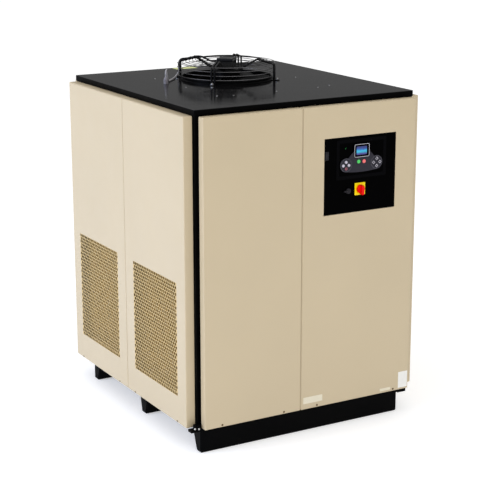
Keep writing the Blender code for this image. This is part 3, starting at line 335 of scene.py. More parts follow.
def powder_coat(name, color, roughness, specular=0.5, peel=0.25, cloud=0.02):
    """Baked powder paint: fine orange peel over broad, faint waves."""
    material = new_material(name, color, roughness, specular=specular)
    vary_color(material, color, cloud, 2.2)
    vary_roughness(material, roughness - 0.05, roughness + 0.06, 9.0)
    add_bump(material, noise(material, 420.0, 2.0), peel, 0.00025)
    add_bump(material, noise(material, 3.5, 1.0), 0.12, 0.004)
    return material


def roof_paint():
    """Semi-gloss black powder coat, smooth enough to mirror what stands on it."""
    color = (0.004, 0.0039, 0.0041)
    material = new_material("roof_paint", color, 0.12, specular=0.28)
    vary_color(material, color, 0.25, 5.0)
    vary_roughness(material, 0.09, 0.15, 9.0)
    add_bump(material, noise(material, 520.0, 2.0), 0.08, 0.0001)
    add_bump(material, noise(material, 3.0, 1.0), 0.1, 0.003)
    return material


def moulded_plastic(name, color, roughness, grain=0.25, specular=0.4):
    """Injection-moulded plastic with a fine spark-eroded grain."""
    material = new_material(name, color, roughness, specular=specular)
    vary_color(material, color, 0.05, 60.0)
    vary_roughness(material, roughness - 0.04, roughness + 0.06, 90.0)
    add_bump(material, noise(material, 1600.0, 2.0), grain, 0.00008)
    return material


def gloss_black():
    """The control door's glossy black front, with faint wipe marks."""
    color = (0.0006, 0.0006, 0.0007)
    material = new_material("black_gloss", color, 0.2, specular=0.008)
    vary_color(material, color, 0.2, 18.0)
    vary_roughness(material, 0.14, 0.3, 16.0, (1.0, 1.0, 3.0))
    add_bump(material, noise(material, 30.0, 1.0), 0.05, 0.0006)
    return material


def metal(name, color, roughness, scratch=0.15, stretch=(1.0, 1.0, 12.0), scale=60.0):
    """Bare metal with drawn or turned streaks and a little tarnish."""
    material = new_material(name, color, roughness, metallic=1.0)
    vary_color(material, color, 0.12, 14.0)
    vary_roughness(material, roughness - 0.08, roughness + 0.12, scale, stretch)
    add_bump(material, noise(material, scale * 6, 2.0, stretch), scratch, 0.00012)
    return material


def galvanised():
    """Zinc spangle: flat crystals a centimetre across."""
    color = (0.50, 0.51, 0.52)
    material = new_material("galvanised_steel", color, 0.4, metallic=1.0)
    cells = material.node_tree.nodes.new("ShaderNodeTexVoronoi")
    cells.inputs["Scale"].default_value = 90.0
    material.node_tree.links.new(coordinates(material), cells.inputs["Vector"])
    stops = [(0.2, shade(color, 0.8)), (0.8, shade(color, 1.15))]
    link_input(material, ramp(material, cells.outputs["Color"], stops), "Base Color")
    link_input(material, remap(material, cells.outputs["Color"], 0.3, 0.5), "Roughness")
    return material


def foam_skin():
    """Closed-cell foam sheet: dull, pitted, a little uneven."""
    color = (0.02, 0.02, 0.021)
    material = new_material("foam_skin", color, 0.9, specular=0.25)
    vary_color(material, color, 0.3, 40.0)
    add_bump(material, noise(material, 700.0, 4.0), 0.6, 0.0006)
    return material


def fin_metal():
    """Fin stock with a golden brown lacquer, dulled by dust between the fins."""
    color = (0.48, 0.31, 0.085)
    material = new_material("lacquered_fins", color, 0.6, metallic=0.1)
    dust = noise(material, 22.0, 4.0)
    stops = [(0.3, shade(color, 0.7)), (0.7, shade(color, 1.2))]
    link_input(material, ramp(material, dust, stops), "Base Color")
    vary_roughness(material, 0.5, 0.75, 30.0)
    add_bump(material, noise(material, 900.0, 2.0), 0.2, 0.0002)
    return material


def lit_screen():
    """The lit display: indigo above, bright cyan below, and nothing written on it."""
    material = new_material("lit_screen", (0.0, 0.01, 0.03), 0.25)
    tree = material.node_tree
    split = tree.nodes.new("ShaderNodeSeparateXYZ")
    tree.links.new(coordinates(material), split.inputs["Vector"])
    bottom, top = DISPLAY_Z - SCREEN_SIZE[1] / 2, DISPLAY_Z + SCREEN_SIZE[1] / 2
    height = remap(material, split.outputs["Z"], 0.0, 1.0, bottom, top)
    wave = remap(material, noise(material, 70.0, 2.0), -0.06, 0.06)
    total = tree.nodes.new("ShaderNodeMath")
    tree.links.new(height, total.inputs[0])
    tree.links.new(wave, total.inputs[1])
    stops = [
        (0.00, (0.05, 0.02, 0.16)), (0.14, (0.05, 0.05, 0.30)), (0.30, (0.02, 0.42, 0.60)),
        (0.50, (0.03, 0.50, 0.80)), (0.62, (0.02, 0.16, 0.50)), (0.80, (0.02, 0.03, 0.22)),
        (1.00, (0.015, 0.015, 0.12)),
    ]
    link_input(material, ramp(material, total.outputs["Value"], stops), "Emission Color")
    shader_of(material).inputs["Emission Strength"].default_value = 0.9
    return material


def lit_mark(name, color, strength):
    material = moulded_plastic(name, color, 0.3)
    shader_of(material).inputs["Emission Color"].default_value = (*color, 1.0)
    shader_of(material).inputs["Emission Strength"].default_value = strength
    return material


def sticker(name, color):
    """Printed film, left blank: satin, with a faint paper tooth."""
    material = new_material(name, color, 0.45)
    vary_color(material, color, 0.03, 50.0)
    add_bump(material, noise(material, 1200.0, 2.0), 0.15, 0.0001)
    return material


def floor_material():
    color = (0.78, 0.78, 0.78)
    material = new_material("studio_floor", color, 0.7, specular=0.1)
    vary_color(material, color, 0.004, 0.7)
    shader_of(material).inputs["Emission Color"].default_value = (1.0, 1.0, 1.0, 1.0)
    shader_of(material).inputs["Emission Strength"].default_value = 0.44
    return material


CREAM = powder_coat("cream_paint", (0.56, 0.456, 0.292), 0.34, specular=0.75)
# The panels' cream paint in a darker, browner shadow tone: painted shade for the perforated grille
# sheet and the coil sills.
SHADED_CREAM_PAINT = powder_coat("cream_paint_painted_shade", (0.58, 0.42, 0.185), 0.5, specular=0.3)
BLACK = powder_coat("black_paint", (0.001, 0.001, 0.0012), 0.5, specular=0.03, cloud=0.15)
ROOF = roof_paint()
GLOSS = gloss_black()
WIRE = powder_coat("black_wire", (0.002, 0.002, 0.0022), 0.35, specular=0.14, cloud=0.1)
# Light grey metal for the upright rings: a painted highlight for the glint along wire that is as
# black as the crown's.
GLINT_WIRE = metal("wire_painted_glint", (0.17, 0.165, 0.17), 0.25, scratch=0.1)
FAN_BLACK = powder_coat("fan_black", (0.0012, 0.0012, 0.0014), 0.45, specular=0.06, cloud=0.15)
BLACK_PLASTIC = moulded_plastic("black_plastic", (0.003, 0.003, 0.0034), 0.5, specular=0.15)
BOX_LID = moulded_plastic("terminal_box_lid", (0.006, 0.006, 0.0065), 0.4, specular=0.3)
FASCIA_FRAME = moulded_plastic("fascia_frame", (0.0012, 0.0012, 0.0017), 0.4, specular=0.02)
HOUSING_GREY = moulded_plastic("housing_grey", (0.029, 0.028, 0.037), 0.5, specular=0.10)
ARROW_FIELD = moulded_plastic("arrow_field", (0.022, 0.021, 0.028), 0.5, specular=0.15)
ARROW_TRIM = moulded_plastic("arrow_trim", (0.80, 0.78, 0.86), 0.4, grain=0.1)
BEZEL_SILVER = moulded_plastic("bezel_silver", (0.62, 0.61, 0.66), 0.3, grain=0.1)
BEZEL_BLACK = moulded_plastic("bezel_black", (0.006, 0.006, 0.008), 0.4, specular=0.1)
PINK_TRIM = moulded_plastic("pink_trim", (0.42, 0.16, 0.20), 0.4, grain=0.1)
SELECTOR_GREY = moulded_plastic("selector_grey", (0.014, 0.013, 0.016), 0.45, specular=0.15)
LATCH_GREY = moulded_plastic("latch_grey", (0.022, 0.021, 0.025), 0.45, specular=0.15)
SILVER_TRIM = moulded_plastic("silver_trim", (0.13, 0.128, 0.15), 0.4, grain=0.1)
CABLE_GREY = moulded_plastic("grey_sheath", (0.34, 0.33, 0.34), 0.45, grain=0.15)
GLAND_GREY = moulded_plastic("grey_gland", (0.21, 0.195, 0.21), 0.5)
LIGHT_KEY = moulded_plastic("light_key", (0.54, 0.51, 0.60), 0.45)
DARK_RED_KEY = moulded_plastic("dark_red_key", (0.15, 0.012, 0.03), 0.4)
GREEN_KEY = moulded_plastic("green_key", (0.07, 0.62, 0.12), 0.35)
RED_KEY = moulded_plastic("red_key", (0.90, 0.17, 0.17), 0.35)
YELLOW = moulded_plastic("yellow_plastic", (0.92, 0.72, 0.0), 0.4, grain=0.15, specular=0.2)
RED = moulded_plastic("red_plastic", (0.86, 0.002, 0.001), 0.4, grain=0.15, specular=0.15)
RED_GRIP = moulded_plastic("red_vinyl", (0.45, 0.015, 0.01), 0.5, grain=0.4)
STEEL = metal("machined_steel", (0.42, 0.42, 0.43), 0.35)
ZINC = metal("zinc_plated", (0.62, 0.61, 0.58), 0.32, scale=200.0)
DARK_ZINC = metal("dulled_zinc", (0.26, 0.255, 0.25), 0.38, scale=200.0)
BRASS = metal("turned_brass", (0.62, 0.44, 0.18), 0.28)
COPPER = metal("drawn_copper", (0.62, 0.27, 0.16), 0.28, scratch=0.1)
GALVANISED = galvanised()
FOAM = foam_skin()
FINS = fin_metal()
COIL_FRAME = powder_coat("coil_frame", (0.36, 0.25, 0.10), 0.5, specular=0.3)
SCREEN = lit_screen()
GREEN_LED = lit_mark("green_led", (0.0, 0.13, 0.02), 0.6)
CREAM_LABEL = sticker("cream_label", (0.74, 0.68, 0.53))
WHITE_LABEL = sticker("white_label", (0.85, 0.84, 0.80))
LIME_LABEL = sticker("lime_label", (0.72, 0.76, 0.32))
SCREW_PAINT = powder_coat("painted_screw", (0.11, 0.065, 0.022), 0.4, specular=0.3)


# ---------------------------------------------------------------- modelling helpers

def middle_of(node):
    """The middle of a CAD node's box."""
    low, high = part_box(node)
    return (low + high) / 2


def polar(radius, angle, height=0.0):
    return Vector((radius * math.cos(angle), radius * math.sin(angle), height))


def turns(count, start=0.0):
    """count angles in radians, evenly round a circle from start degrees."""
    return [math.radians(start) + 2 * math.pi * i / count for i in range(count)]


def new_object(name, bm):
    mesh = bpy.data.meshes.new(name)
    bmesh.ops.recalc_face_normals(bm, faces=bm.faces)
    bm.to_mesh(mesh)
    bm.free()
    obj = bpy.data.objects.new(name, mesh)
    bpy.context.scene.collection.objects.link(obj)
    return obj


def painted(obj, material):
    obj.data.materials.clear()
    obj.data.materials.append(material)
    return obj


def final_mesh(obj):
    """A new mesh: the object's own with its modifiers applied."""
    bpy.context.view_layer.update()
    depsgraph = bpy.context.evaluated_depsgraph_get()
    return bpy.data.meshes.new_from_object(obj.evaluated_get(depsgraph), depsgraph=depsgraph)


def merged(name, objects):
    """One object holding every given object's final mesh, smooth except at sharp edges."""
    materials = []
    bm = bmesh.new()
    for obj in objects:
        mesh = final_mesh(obj)
        mesh.transform(obj.matrix_world)
        material = obj.data.materials[0]
        if material not in materials:
            materials.append(material)
        first_new = len(bm.faces)
        bm.from_mesh(mesh)
        bm.faces.ensure_lookup_table()
        for face in bm.faces[first_new:]:
            face.material_index = materials.index(material)
            face.smooth = True
        bpy.data.meshes.remove(mesh)
    mesh = bpy.data.meshes.new(name)
    bm.to_mesh(mesh)
    bm.free()
    for material in materials:
        mesh.materials.append(material)
    for obj in objects:
        bpy.data.objects.remove(obj, do_unlink=True)
    result = bpy.data.objects.new(name, mesh)
    bpy.context.scene.collection.objects.link(result)
    mesh.set_sharp_from_angle(angle=math.radians(35))
    even_shading(result)
    return result


def even_shading(obj):
    evened = obj.modifiers.new("even_shading", "WEIGHTED_NORMAL")
    evened.keep_sharp = True


def finished(name, body, slot, objects, nodes=()):
    """Merges objects into a piece that rides on body and stands for the CAD nodes."""
    piece = merged(name, objects)
    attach(piece, body)
    if nodes:
        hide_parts(*nodes)
    return piece


def box_mesh(low, high):
    low, high = Vector(low), Vector(high)
    bm = bmesh.new()
    bmesh.ops.create_cube(bm, size=1.0)
    bmesh.ops.scale(bm, vec=high - low, verts=bm.verts)
    bmesh.ops.translate(bm, vec=(low + high) / 2, verts=bm.verts)
    return bm


def round_edges(obj, width, segments=3):
    modifier = obj.modifiers.new("rounded_edges", "BEVEL")
    modifier.width = width
    modifier.segments = segments
    return obj


def thicken(obj, thickness, offset=0.0):
    """Makes a sheet of a surface: about it, or inwards from it with an offset of -1."""
    sheet = obj.modifiers.new("sheet", "SOLIDIFY")
    sheet.thickness = thickness
    sheet.offset = offset
    return sheet


def block(name, low, high, material, bevel, segments=3):
    return round_edges(painted(new_object(name, box_mesh(low, high)), material), bevel, segments)


def cut(obj, *cutters):
    """Cuts the cutters out of obj and removes them."""
    for cutter in cutters:
        modifier = obj.modifiers.new("cut", "BOOLEAN")
        modifier.object = cutter
        modifier.operation = "DIFFERENCE"
        modifier.solver = "EXACT"
    mesh = final_mesh(obj)
    obj.modifiers.clear()
    obj.data = mesh
    for cutter in cutters:
        bpy.data.objects.remove(cutter, do_unlink=True)
    return obj


AXES = {
    "+Z": Matrix.Identity(3),
    "-Y": Matrix.Rotation(math.radians(90), 3, "X"),
    "+Y": Matrix.Rotation(math.radians(-90), 3, "X"),
    "-X": Matrix.Rotation(math.radians(-90), 3, "Y"),
    "+X": Matrix.Rotation(math.radians(90), 3, "Y"),
}


def lathe(name, profile, centre, material, axis="+Z", steps=48):
    """A turned piece about axis. profile is (radius, height) pairs, closed on itself."""
    bm = bmesh.new()
    turn, centre = AXES[axis], Vector(centre)
    rings = []
    for radius, height in profile:
        angles = turns(steps) if radius > 0 else [0.0]
        rings.append([bm.verts.new(turn @ polar(radius, a, height) + centre) for a in angles])
    pairs = list(zip(rings, rings[1:]))
    if len(rings[0]) > 1:
        pairs.append((rings[-1], rings[0]))
    for first, second in pairs:
        bridge_rings(bm, first, second, steps)
    return painted(new_object(name, bm), material)


def bridge_rings(bm, first, second, steps):
    for i in range(steps):
        j = (i + 1) % steps
        corners = [
            first[i % len(first)], first[j % len(first)],
            second[j % len(second)], second[i % len(second)],
        ]
        corners = list(dict.fromkeys(corners))
        if len(corners) > 2:
            bm.faces.new(corners)


def rounded_profile(radius, height, edge, count=4):
    """The outline of a disc from its top centre, round its upper edge and down to its foot."""
    rounding = arc((radius - edge, height - edge), edge, 90, 0, count + 1)
    return [(0.0, height)] + rounding + [(radius, 0.0), (0.0, 0.0)]


def sweep(name, points, radius, material, sides=12, cyclic=False):
    """A round rod along a line of points."""
    points = [Vector(p) for p in points]
    last = len(points) - 1
    bm = bmesh.new()
    rings = []
    normal = None
    for index, point in enumerate(points):
        before = points[index - 1] if index or cyclic else point
        after = points[(index + 1) % len(points)] if index < last or cyclic else point
        tangent = (after - before).normalized()
        if normal is None:
            normal = tangent.orthogonal()
        normal = (normal - tangent * normal.dot(tangent)).normalized()
        across = tangent.cross(normal)
        rings.append([
            bm.verts.new(point + radius * (normal * math.cos(a) + across * math.sin(a)))
            for a in turns(sides)
        ])
    pairs = list(zip(rings, rings[1:]))
    if cyclic:
        pairs.append((rings[-1], rings[0]))
    else:
        bm.faces.new(rings[0])
        bm.faces.new(rings[-1])
    for first, second in pairs:
        bridge_rings(bm, first, second, sides)
    return painted(new_object(name, bm), material)


def drill(centre, radius, axis, steps=48, reach=CUT_REACH):
    """A cutter for a round hole."""
    profile = [(0.0, reach), (radius, reach), (radius, -reach), (0.0, -reach)]
    return lathe("drill", profile, centre, STEEL, axis, steps)


def arc(centre, radius, start, end, count):
    """count points along an arc, with angles in degrees, counted from +X."""
    angles = [math.radians(start + (end - start) * i / (count - 1)) for i in range(count)]
    return [(centre[0] + radius * math.cos(a), centre[1] + radius * math.sin(a)) for a in angles]


def rounded_rectangle(centre, size, radius, count=6):
    points = []
    for corner, (sx, sz) in enumerate(((1, 1), (-1, 1), (-1, -1), (1, -1))):
        middle = (centre[0] + sx * (size[0] / 2 - radius), centre[1] + sz * (size[1] / 2 - radius))
        points += arc(middle, radius, 90 * corner, 90 * corner + 90, count)
    return points


def rectangle_between(low, high, radius=0.0005, count=2):
    centre = ((low[0] + high[0]) / 2, (low[1] + high[1]) / 2)
    return rounded_rectangle(centre, (high[0] - low[0], high[1] - low[1]), radius, count)


def front_outline(node, radius, count=6, inset_x=0.0, inset_z=0.0):
    """The outline of a CAD node's box as the front shows it, drawn in by the insets."""
    inset = Vector((inset_x, 0.0, inset_z))
    low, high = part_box(node)
    return rectangle_between((low + inset).xz, (high - inset).xz, radius, count)


def shaft_bore(x, z):
    return arc((x, z), SHAFT_BORE_R, 0, 337.5, 16)


def shaft(x, z, front, back):
    return sweep("shaft", [(x, front, z), (x, back, z)], SHAFT_R, STEEL, 20)


def upright(name, outline, back, face, material, edge=0.0, holes=()):
    """A flat outline of (x, z) points standing between two depths, with rounded edges and holes."""
    curve = bpy.data.curves.new(name, "CURVE")
    curve.dimensions = "2D"
    curve.fill_mode = "BOTH"
    curve.extrude = (back - face) / 2 - edge
    curve.bevel_depth = edge
    curve.bevel_resolution = 2
    curve.offset = -edge
    for points in (outline, *holes):
        spline = curve.splines.new("POLY")
        spline.points.add(len(points) - 1)
        for point, (x, z) in zip(spline.points, points):
            point.co = (x, z, 0.0, 1.0)
        spline.use_cyclic_u = True
    guide = bpy.data.objects.new(f"{name}_outline", curve)
    guide.matrix_world = Matrix.Translation((0, (back + face) / 2, 0)) @ AXES["-Y"].to_4x4()
    bpy.context.scene.collection.objects.link(guide)
    mesh = final_mesh(guide)
    mesh.transform(guide.matrix_world)
    bpy.data.objects.remove(guide, do_unlink=True)
    bm = bmesh.new()
    bm.from_mesh(mesh)
    bpy.data.meshes.remove(mesh)
    bmesh.ops.remove_doubles(bm, verts=bm.verts, dist=0.00001)
    return painted(new_object(name, bm), material)


def smooth_route(points, per_span):
    """Points along a smooth curve that passes through every given point (Catmull-Rom)."""
    knots = [Vector(p) for p in points]
    knots = [2 * knots[0] - knots[1]] + knots + [2 * knots[-1] - knots[-2]]
    route = []
    for p0, p1, p2, p3 in zip(knots, knots[1:], knots[2:], knots[3:]):
        for step in range(per_span):
            t = step / per_span
            route.append(
                0.5 * (2 * p1 + (p2 - p0) * t + (2 * p0 - 5 * p1 + 4 * p2 - p3) * t ** 2
                       + (3 * p1 - p0 - 3 * p2 + p3) * t ** 3)
            )
    return route + [knots[-2]]


def rounded_path(points, radius, count=8):
    """A pipe's centre line: straight runs with an arc at each inner corner."""
    points = [Vector(p) for p in points]
    path = [points[0]]
    for before, corner, after in zip(points, points[1:], points[2:]):
        to_start = (before - corner).normalized()
        to_end = (after - corner).normalized()
        half = to_start.angle(to_end) / 2
        reach = radius / math.tan(half)
        centre = corner + (to_start + to_end).normalized() * (radius / math.sin(half))
        first = (corner + to_start * reach - centre).normalized()
        last = (corner + to_end * reach - centre).normalized()
        for step in range(count + 1):
            path.append(centre + radius * first.slerp(last, step / count))
    path.append(points[-1])
    return path


def button_screw(name, centre, axis, material, radius=SCREW_R, height=SCREW_HEIGHT):
    """A low round-headed screw with a socket in its head."""
    profile = [
        (0.0, 0.35 * height), (0.38 * radius, 0.35 * height), (0.45 * radius, height),
        (0.75 * radius, 0.9 * height), (0.95 * radius, 0.5 * height), (radius, 0.0), (0.0, 0.0),
    ]
    return lathe(name, profile, centre, material, axis, 20)


def hex_head(name, centre, axis, across, height, material):
    """A six-sided nut or bolt head with a turned upper edge."""
    corner_r = across / 2 / math.cos(math.pi / 6)
    profile = [
        (0.0, height), (0.43 * across, height), (corner_r, 0.8 * height), (corner_r, 0.0),
        (0.0, 0.0),
    ]
    return lathe(name, profile, centre, material, axis, 6)


def refine(node, material, bevel=0.0008):
    """Keeps a CAD node, with softened edges and a finished material."""
    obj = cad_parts[node]
    for material_slot in obj.material_slots:
        material_slot.material = material
    welded = obj.modifiers.new("welded", "WELD")
    welded.merge_threshold = 0.00002
    round_edges(obj, bevel, 2)
    rounding = obj.modifiers["rounded_edges"]
    rounding.limit_method = "ANGLE"
    rounding.angle_limit = math.radians(40)
    even_shading(obj)


# ---------------------------------------------------------------- base and posts

def build_base():
    for node in ("base_pan", "skid_front", "skid_middle", "skid_rear"):
        refine(node, BLACK, 0.0012)
    for depth in ("front", "rear"):
        for side in ("left", "right"):
            refine(f"post_{depth}_{side}", BLACK, 0.002)


# ---------------------------------------------------------------- casing

def tray(name, low, high, open_side, material, thickness=PANEL_SHEET, bend=PANEL_BEND):
    """A folded sheet-metal tray: a box without the side that faces open_side."""
    bm = box_mesh(low, high)
    open_side = Vector(open_side)
    bmesh.ops.recalc_face_normals(bm, faces=bm.faces)
    found = [face for face in bm.faces if face.normal.dot(open_side) > 0.9]
    bmesh.ops.delete(bm, geom=found, context="FACES_ONLY")
    obj = round_edges(painted(new_object(name, bm), material), bend, 4)
    thicken(obj, thickness, -1.0).use_even_offset = True
    return obj


def perforated_cell(bm, place, left, bottom):
    """One cell of perforated sheet: a rectangle with a round hole in its middle."""
    width, height = HOLE_PITCH, ROW_PITCH
    middle_x, middle_z = left + width / 2, bottom + height / 2
    hole = [
        place(middle_x + HOLE_R * math.cos(a), middle_z + HOLE_R * math.sin(a))
        for a in turns(HOLE_SIDES)
    ]
    eighth = HOLE_SIDES // 8
    corners = [
        (left + width, bottom + height), (middle_x, bottom + height), (left, bottom + height),
        (left, bottom), (middle_x, bottom), (left + width, bottom),
    ]
    bounds = (1, 2, 3, 5, 6, 7, 9)
    rim = [place(*corner) for corner in corners]
    for index in range(6):
        start, end = bounds[index] * eighth, bounds[index + 1] * eighth
        inner = [hole[k % HOLE_SIDES] for k in range(end, start - 1, -1)]
        bm.faces.new([rim[index], rim[(index + 1) % 6]] + inner)


def perforated_sheet(name, x, y_low, z_low, material):
    """Staggered rows of round holes, in an upright sheet square to X."""
    bm = bmesh.new()
    known = {}

    def place(across, up):
        key = (round(across * 1e6), round(up * 1e6))
        if key not in known:
            known[key] = bm.verts.new((x, y_low + across, z_low + up))
        return known[key]

    for row in range(GRILLE_ROWS):
        bottom = row * ROW_PITCH
        offset = HOLE_PITCH / 2 * (row % 2)
        for hole in range(GRILLE_HOLES):
            perforated_cell(bm, place, offset + hole * HOLE_PITCH, bottom)
        plain = 0.0 if offset else GRILLE_HOLES * HOLE_PITCH
        bm.faces.new([
            place(plain, bottom), place(plain + HOLE_PITCH / 2, bottom),
            place(plain + HOLE_PITCH / 2, bottom + ROW_PITCH), place(plain, bottom + ROW_PITCH),
        ])
    obj = painted(new_object(name, bm), material)
    thicken(obj, PANEL_SHEET)
    return obj


def build_side_panel(side_name, sx, depth_name, sy):
    """A folded panel with its perforated grille set in flush."""
    node = f"side_panel_{side_name}_{depth_name}"
    low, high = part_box(node)
    outer = high if sx > 0 else low
    outer.x -= sx * SIDE_INSET
    face = outer.x
    panel = tray(f"{node}_tray", low, high, (-sx, 0, 0), CREAM)
    y_low = sy * GRILLE_MIDDLE_Y - GRILLE_WIDTH / 2
    z_low = GRILLE_MIDDLE_Z - GRILLE_HEIGHT / 2
    window_low = (face - CUT_REACH, y_low, z_low)
    window_high = (face + CUT_REACH, y_low + GRILLE_WIDTH, z_low + GRILLE_HEIGHT)
    cut(panel, new_object("window", box_mesh(window_low, window_high)))
    middle_of_sheet = face - sx * PANEL_SHEET / 2
    # The grille sheet takes the cream paint's shadow tone, as painted shade.
    grille = perforated_sheet(f"{node}_grille", middle_of_sheet, y_low, z_low, SHADED_CREAM_PAINT)
    finished(f"{node}_shell", "cabinet", "cream_paint", [panel, grille], [node])


def build_side_panels():
    for side_name, sx in (("left", -1), ("right", 1)):
        for depth_name, sy in (("front", -1), ("rear", 1)):
            build_side_panel(side_name, sx, depth_name, sy)


def end_panel(node, open_side):
    low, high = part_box(node)
    return tray(f"{node}_tray", low, high, open_side, CREAM)


def rear_hole(node, z, radius):
    """A cutter for the hole in a rear panel that a node passes through at height z."""
    return drill((middle_of(node).x, -FRONT_FACE, z), radius, "+Y")


def build_end_panels():
    """The front and rear panels, with the doorway and the holes for the rear fittings."""
    door_low, door_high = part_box("control_door")
    margin = Vector((DOOR_GAP, CUT_REACH, DOOR_GAP))
    doorway = new_object("doorway", box_mesh(door_low - margin, door_high + margin))
    gland_z = middle_of("power_gland").z
    cutters = {
        "front_panel_left": [],
        "front_panel_right": [doorway],
        "rear_panel_left": [rear_hole("power_gland", gland_z, GLAND_HOLE_R)],
        "rear_panel_right": [
            rear_hole("air_inlet_pipe", PIPE_Z, PIPE_HOLE_R),
            rear_hole("air_outlet_pipe", PIPE_Z, PIPE_HOLE_R),
            rear_hole("drain_valve", DRAIN_Z, DRAIN_HOLE_R),
        ],
    }
    for node, tools in cutters.items():
        panel = end_panel(node, (0, 1, 0) if node.startswith("front") else (0, -1, 0))
        finished(f"{node}_shell", "cabinet", "cream_paint", [cut(panel, *tools)], [node])


def seam_depth(sign, face):
    """The two depths of a strip behind the face on the + or the - side."""
    outer = sign * (face - SEAM_STRIP_DEPTH)
    return sorted((outer, outer - sign * PANEL_SHEET))


def build_seam_strips():
    """A painted strip behind the seam of the two panels on each face of the cabinet."""
    front_seam_x = (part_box("front_panel_left")[1].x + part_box("front_panel_right")[0].x) / 2
    low_z, high_z = PANEL_LOW.z + 0.004, PANEL_HIGH.z - 0.004
    strips = []
    for sign in (-1, 1):
        y_low, y_high = seam_depth(sign, -FRONT_FACE)
        corner = (front_seam_x + SEAM_HALF, y_high, high_z)
        strips.append(((front_seam_x - SEAM_HALF, y_low, low_z), corner))
        x_low, x_high = seam_depth(sign, SIDE_FACE)
        strips.append(((x_low, -SEAM_HALF, low_z), (x_high, SEAM_HALF, high_z)))
    blocks = [block("seam_strip", low, high, CREAM, 0.0002, 1) for low, high in strips]
    finished("seam_strips", "cabinet", "cream_paint", blocks)


def build_roof():
    """A glossy folded panel with the fan's opening. Its turned-down lip takes the dull black paint
    instead of the gloss, as painted shade.
    """
    roof = tray("roof_tray", ROOF_LOW, ROOF_HIGH, (0, 0, -1), ROOF, 0.0025, 0.004)
    cut(roof, drill((FAN_X, FAN_Y, ROOF_TOP), FAN_OPENING_R, "+Z", 96))
    shell = finished("roof_shell", "cabinet", "roof_paint", [roof], ["roof_panel"])
    # The lip is the same glossy sheet. The dull black paint on it is painted shade.
    shell.data.materials.append(BLACK)
    for face in shell.data.polygons:
        if abs(face.normal.z) < 0.5:
            face.material_index = 1


def build_cabinet_screws():
    """Painted screws along the foot of the panels, and plated ones on the roof."""
    screws = []
    for sy, axis in ((-1, "-Y"), (1, "+Y")):
        for x in END_SCREW_XS:
            place = (x, -sy * FRONT_FACE, END_SCREW_Z)
            screws.append(button_screw("end_screw", place, axis, SCREW_PAINT))
    for sx, axis in ((-1, "-X"), (1, "+X")):
        for y in SIDE_SCREW_YS:
            place = (sx * (SIDE_FACE - SIDE_INSET), y, SIDE_SCREW_Z)
            screws.append(button_screw("side_screw", place, axis, SCREW_PAINT, height=SIDE_INSET))
    finished("panel_screws", "cabinet", "cream_paint", screws)
    plated = [
        button_screw("roof_screw", (x, y, ROOF_TOP), "+Z", DARK_ZINC, 0.004, 0.0022)
        for x, y in ROOF_SCREWS
    ]
    finished("plated_screws", "cabinet", "pipe_steel", plated)


def build_corner_foot():
    """The front left post's foot, with the two bright bolts that show at the corner."""
    low = Vector((*CORNER_FOOT_LOW, PANEL_LOW.z))
    high = Vector((*CORNER_FOOT_HIGH, PANEL_LOW.z + CORNER_FOOT_HEIGHT))
    pieces = [block("foot", low, high, BLACK, 0.0015)]
    for x, height in CORNER_BOLTS:
        place = (x, low.y, low.z + height)
        pieces.append(button_screw("corner_bolt", place, "-Y", ZINC, 0.0050, 0.003))
    finished("post_foot", "cabinet", "black_paint", pieces)


def front_sticker(name, low, high, material):
    outline = rectangle_between(low, high, 0.002, 4)
    return upright(name, outline, FRONT_FACE, FRONT_FACE - SKIN, material)


def build_labels():
    """Blank stickers where the dryer carries its warning and data labels."""
    stickers = [
        front_sticker("strip_label", (-0.042, 0.155), (0.069, 0.188), CREAM_LABEL),
        front_sticker("small_label", (0.415, 0.137), (0.480, 0.151), CREAM_LABEL),
        front_sticker("square_label", (0.527, 0.136), (0.583, 0.221), WHITE_LABEL),
    ]
    roof_sticker = new_object("roof_label", box_mesh(
        (-0.046, 0.590, ROOF_TOP), (0.080, 0.650, ROOF_TOP + SKIN)
    ))
    stickers.append(painted(roof_sticker, LIME_LABEL))
    finished("blank_labels", "cabinet", "cream_paint", stickers)


# ---------------------------------------------------------------- fan

def build_shroud():
    """The fan ring with a rolled mouth, a long throat and a flange on the roof."""
    low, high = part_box("fan_shroud")
    seat = ROOF_TOP + SKIN
    flange_r = high.x - FAN_X
    wall = 0.003
    outside = SHROUD_R + wall
    mouth = arc((SHROUD_R + wall / 2, high.z - wall), wall, 180, 0, 7)
    profile = mouth + [
        (outside, seat + 2 * wall), (outside + wall, seat + wall), (flange_r, seat + wall),
        (flange_r, seat), (outside, seat), (outside, low.z), (SHROUD_R, low.z),
    ]
    shroud = lathe("shroud_ring", profile, FAN_PLACE, FAN_BLACK, "+Z", 128)
    finished("fan_shroud_ring", "cabinet", "black_paint", [shroud], ["fan_shroud"])


def guard_rod_path(side):
    """One rod of a leg, in the leg's own upright plane: (distance from the axis, side, height)."""
    crown_top = GUARD_TOP + GUARD_CROWN_RISE
    shoulder = arc((GUARD_R - GUARD_BEND, GUARD_TOP - GUARD_BEND), GUARD_BEND, 0, 78.75, 8)
    crown = [
        (GUARD_CROWN_R + 0.008, crown_top - 0.0022),
        (GUARD_CROWN_R + 0.001, crown_top - 0.0012),
        (GUARD_CROWN_R - 0.006, crown_top - 0.0035),
    ]
    dip = [
        (0.095, MOTOR_MOUNT_Z + 0.0085), (GUARD_DIP_R, MOTOR_MOUNT_Z + 0.002),
        (0.064, MOTOR_MOUNT_Z),
    ]
    line = [(GUARD_R, ROOF_TOP + 0.0006)] + shoulder + crown + dip
    return [(radius, side, height) for radius, height in line]


def dome_nut(name, centre):
    """A cap nut over a broad washer."""
    profile = [
        (0.0, 0.010), (0.003, 0.0096), (0.0055, 0.008), (0.0065, 0.006), (0.0065, 0.004),
        (0.0, 0.004),
    ]
    cap = lathe(f"{name}_cap", profile, centre, DARK_ZINC, "+Z", 16)
    disc = rounded_profile(0.0095, 0.0015, 0.0005)
    washer = lathe(f"{name}_washer", disc, centre, DARK_ZINC, "+Z", 24)
    return [washer, hex_head(f"{name}_nut", centre, "+Z", 0.015, 0.0055, DARK_ZINC), cap]


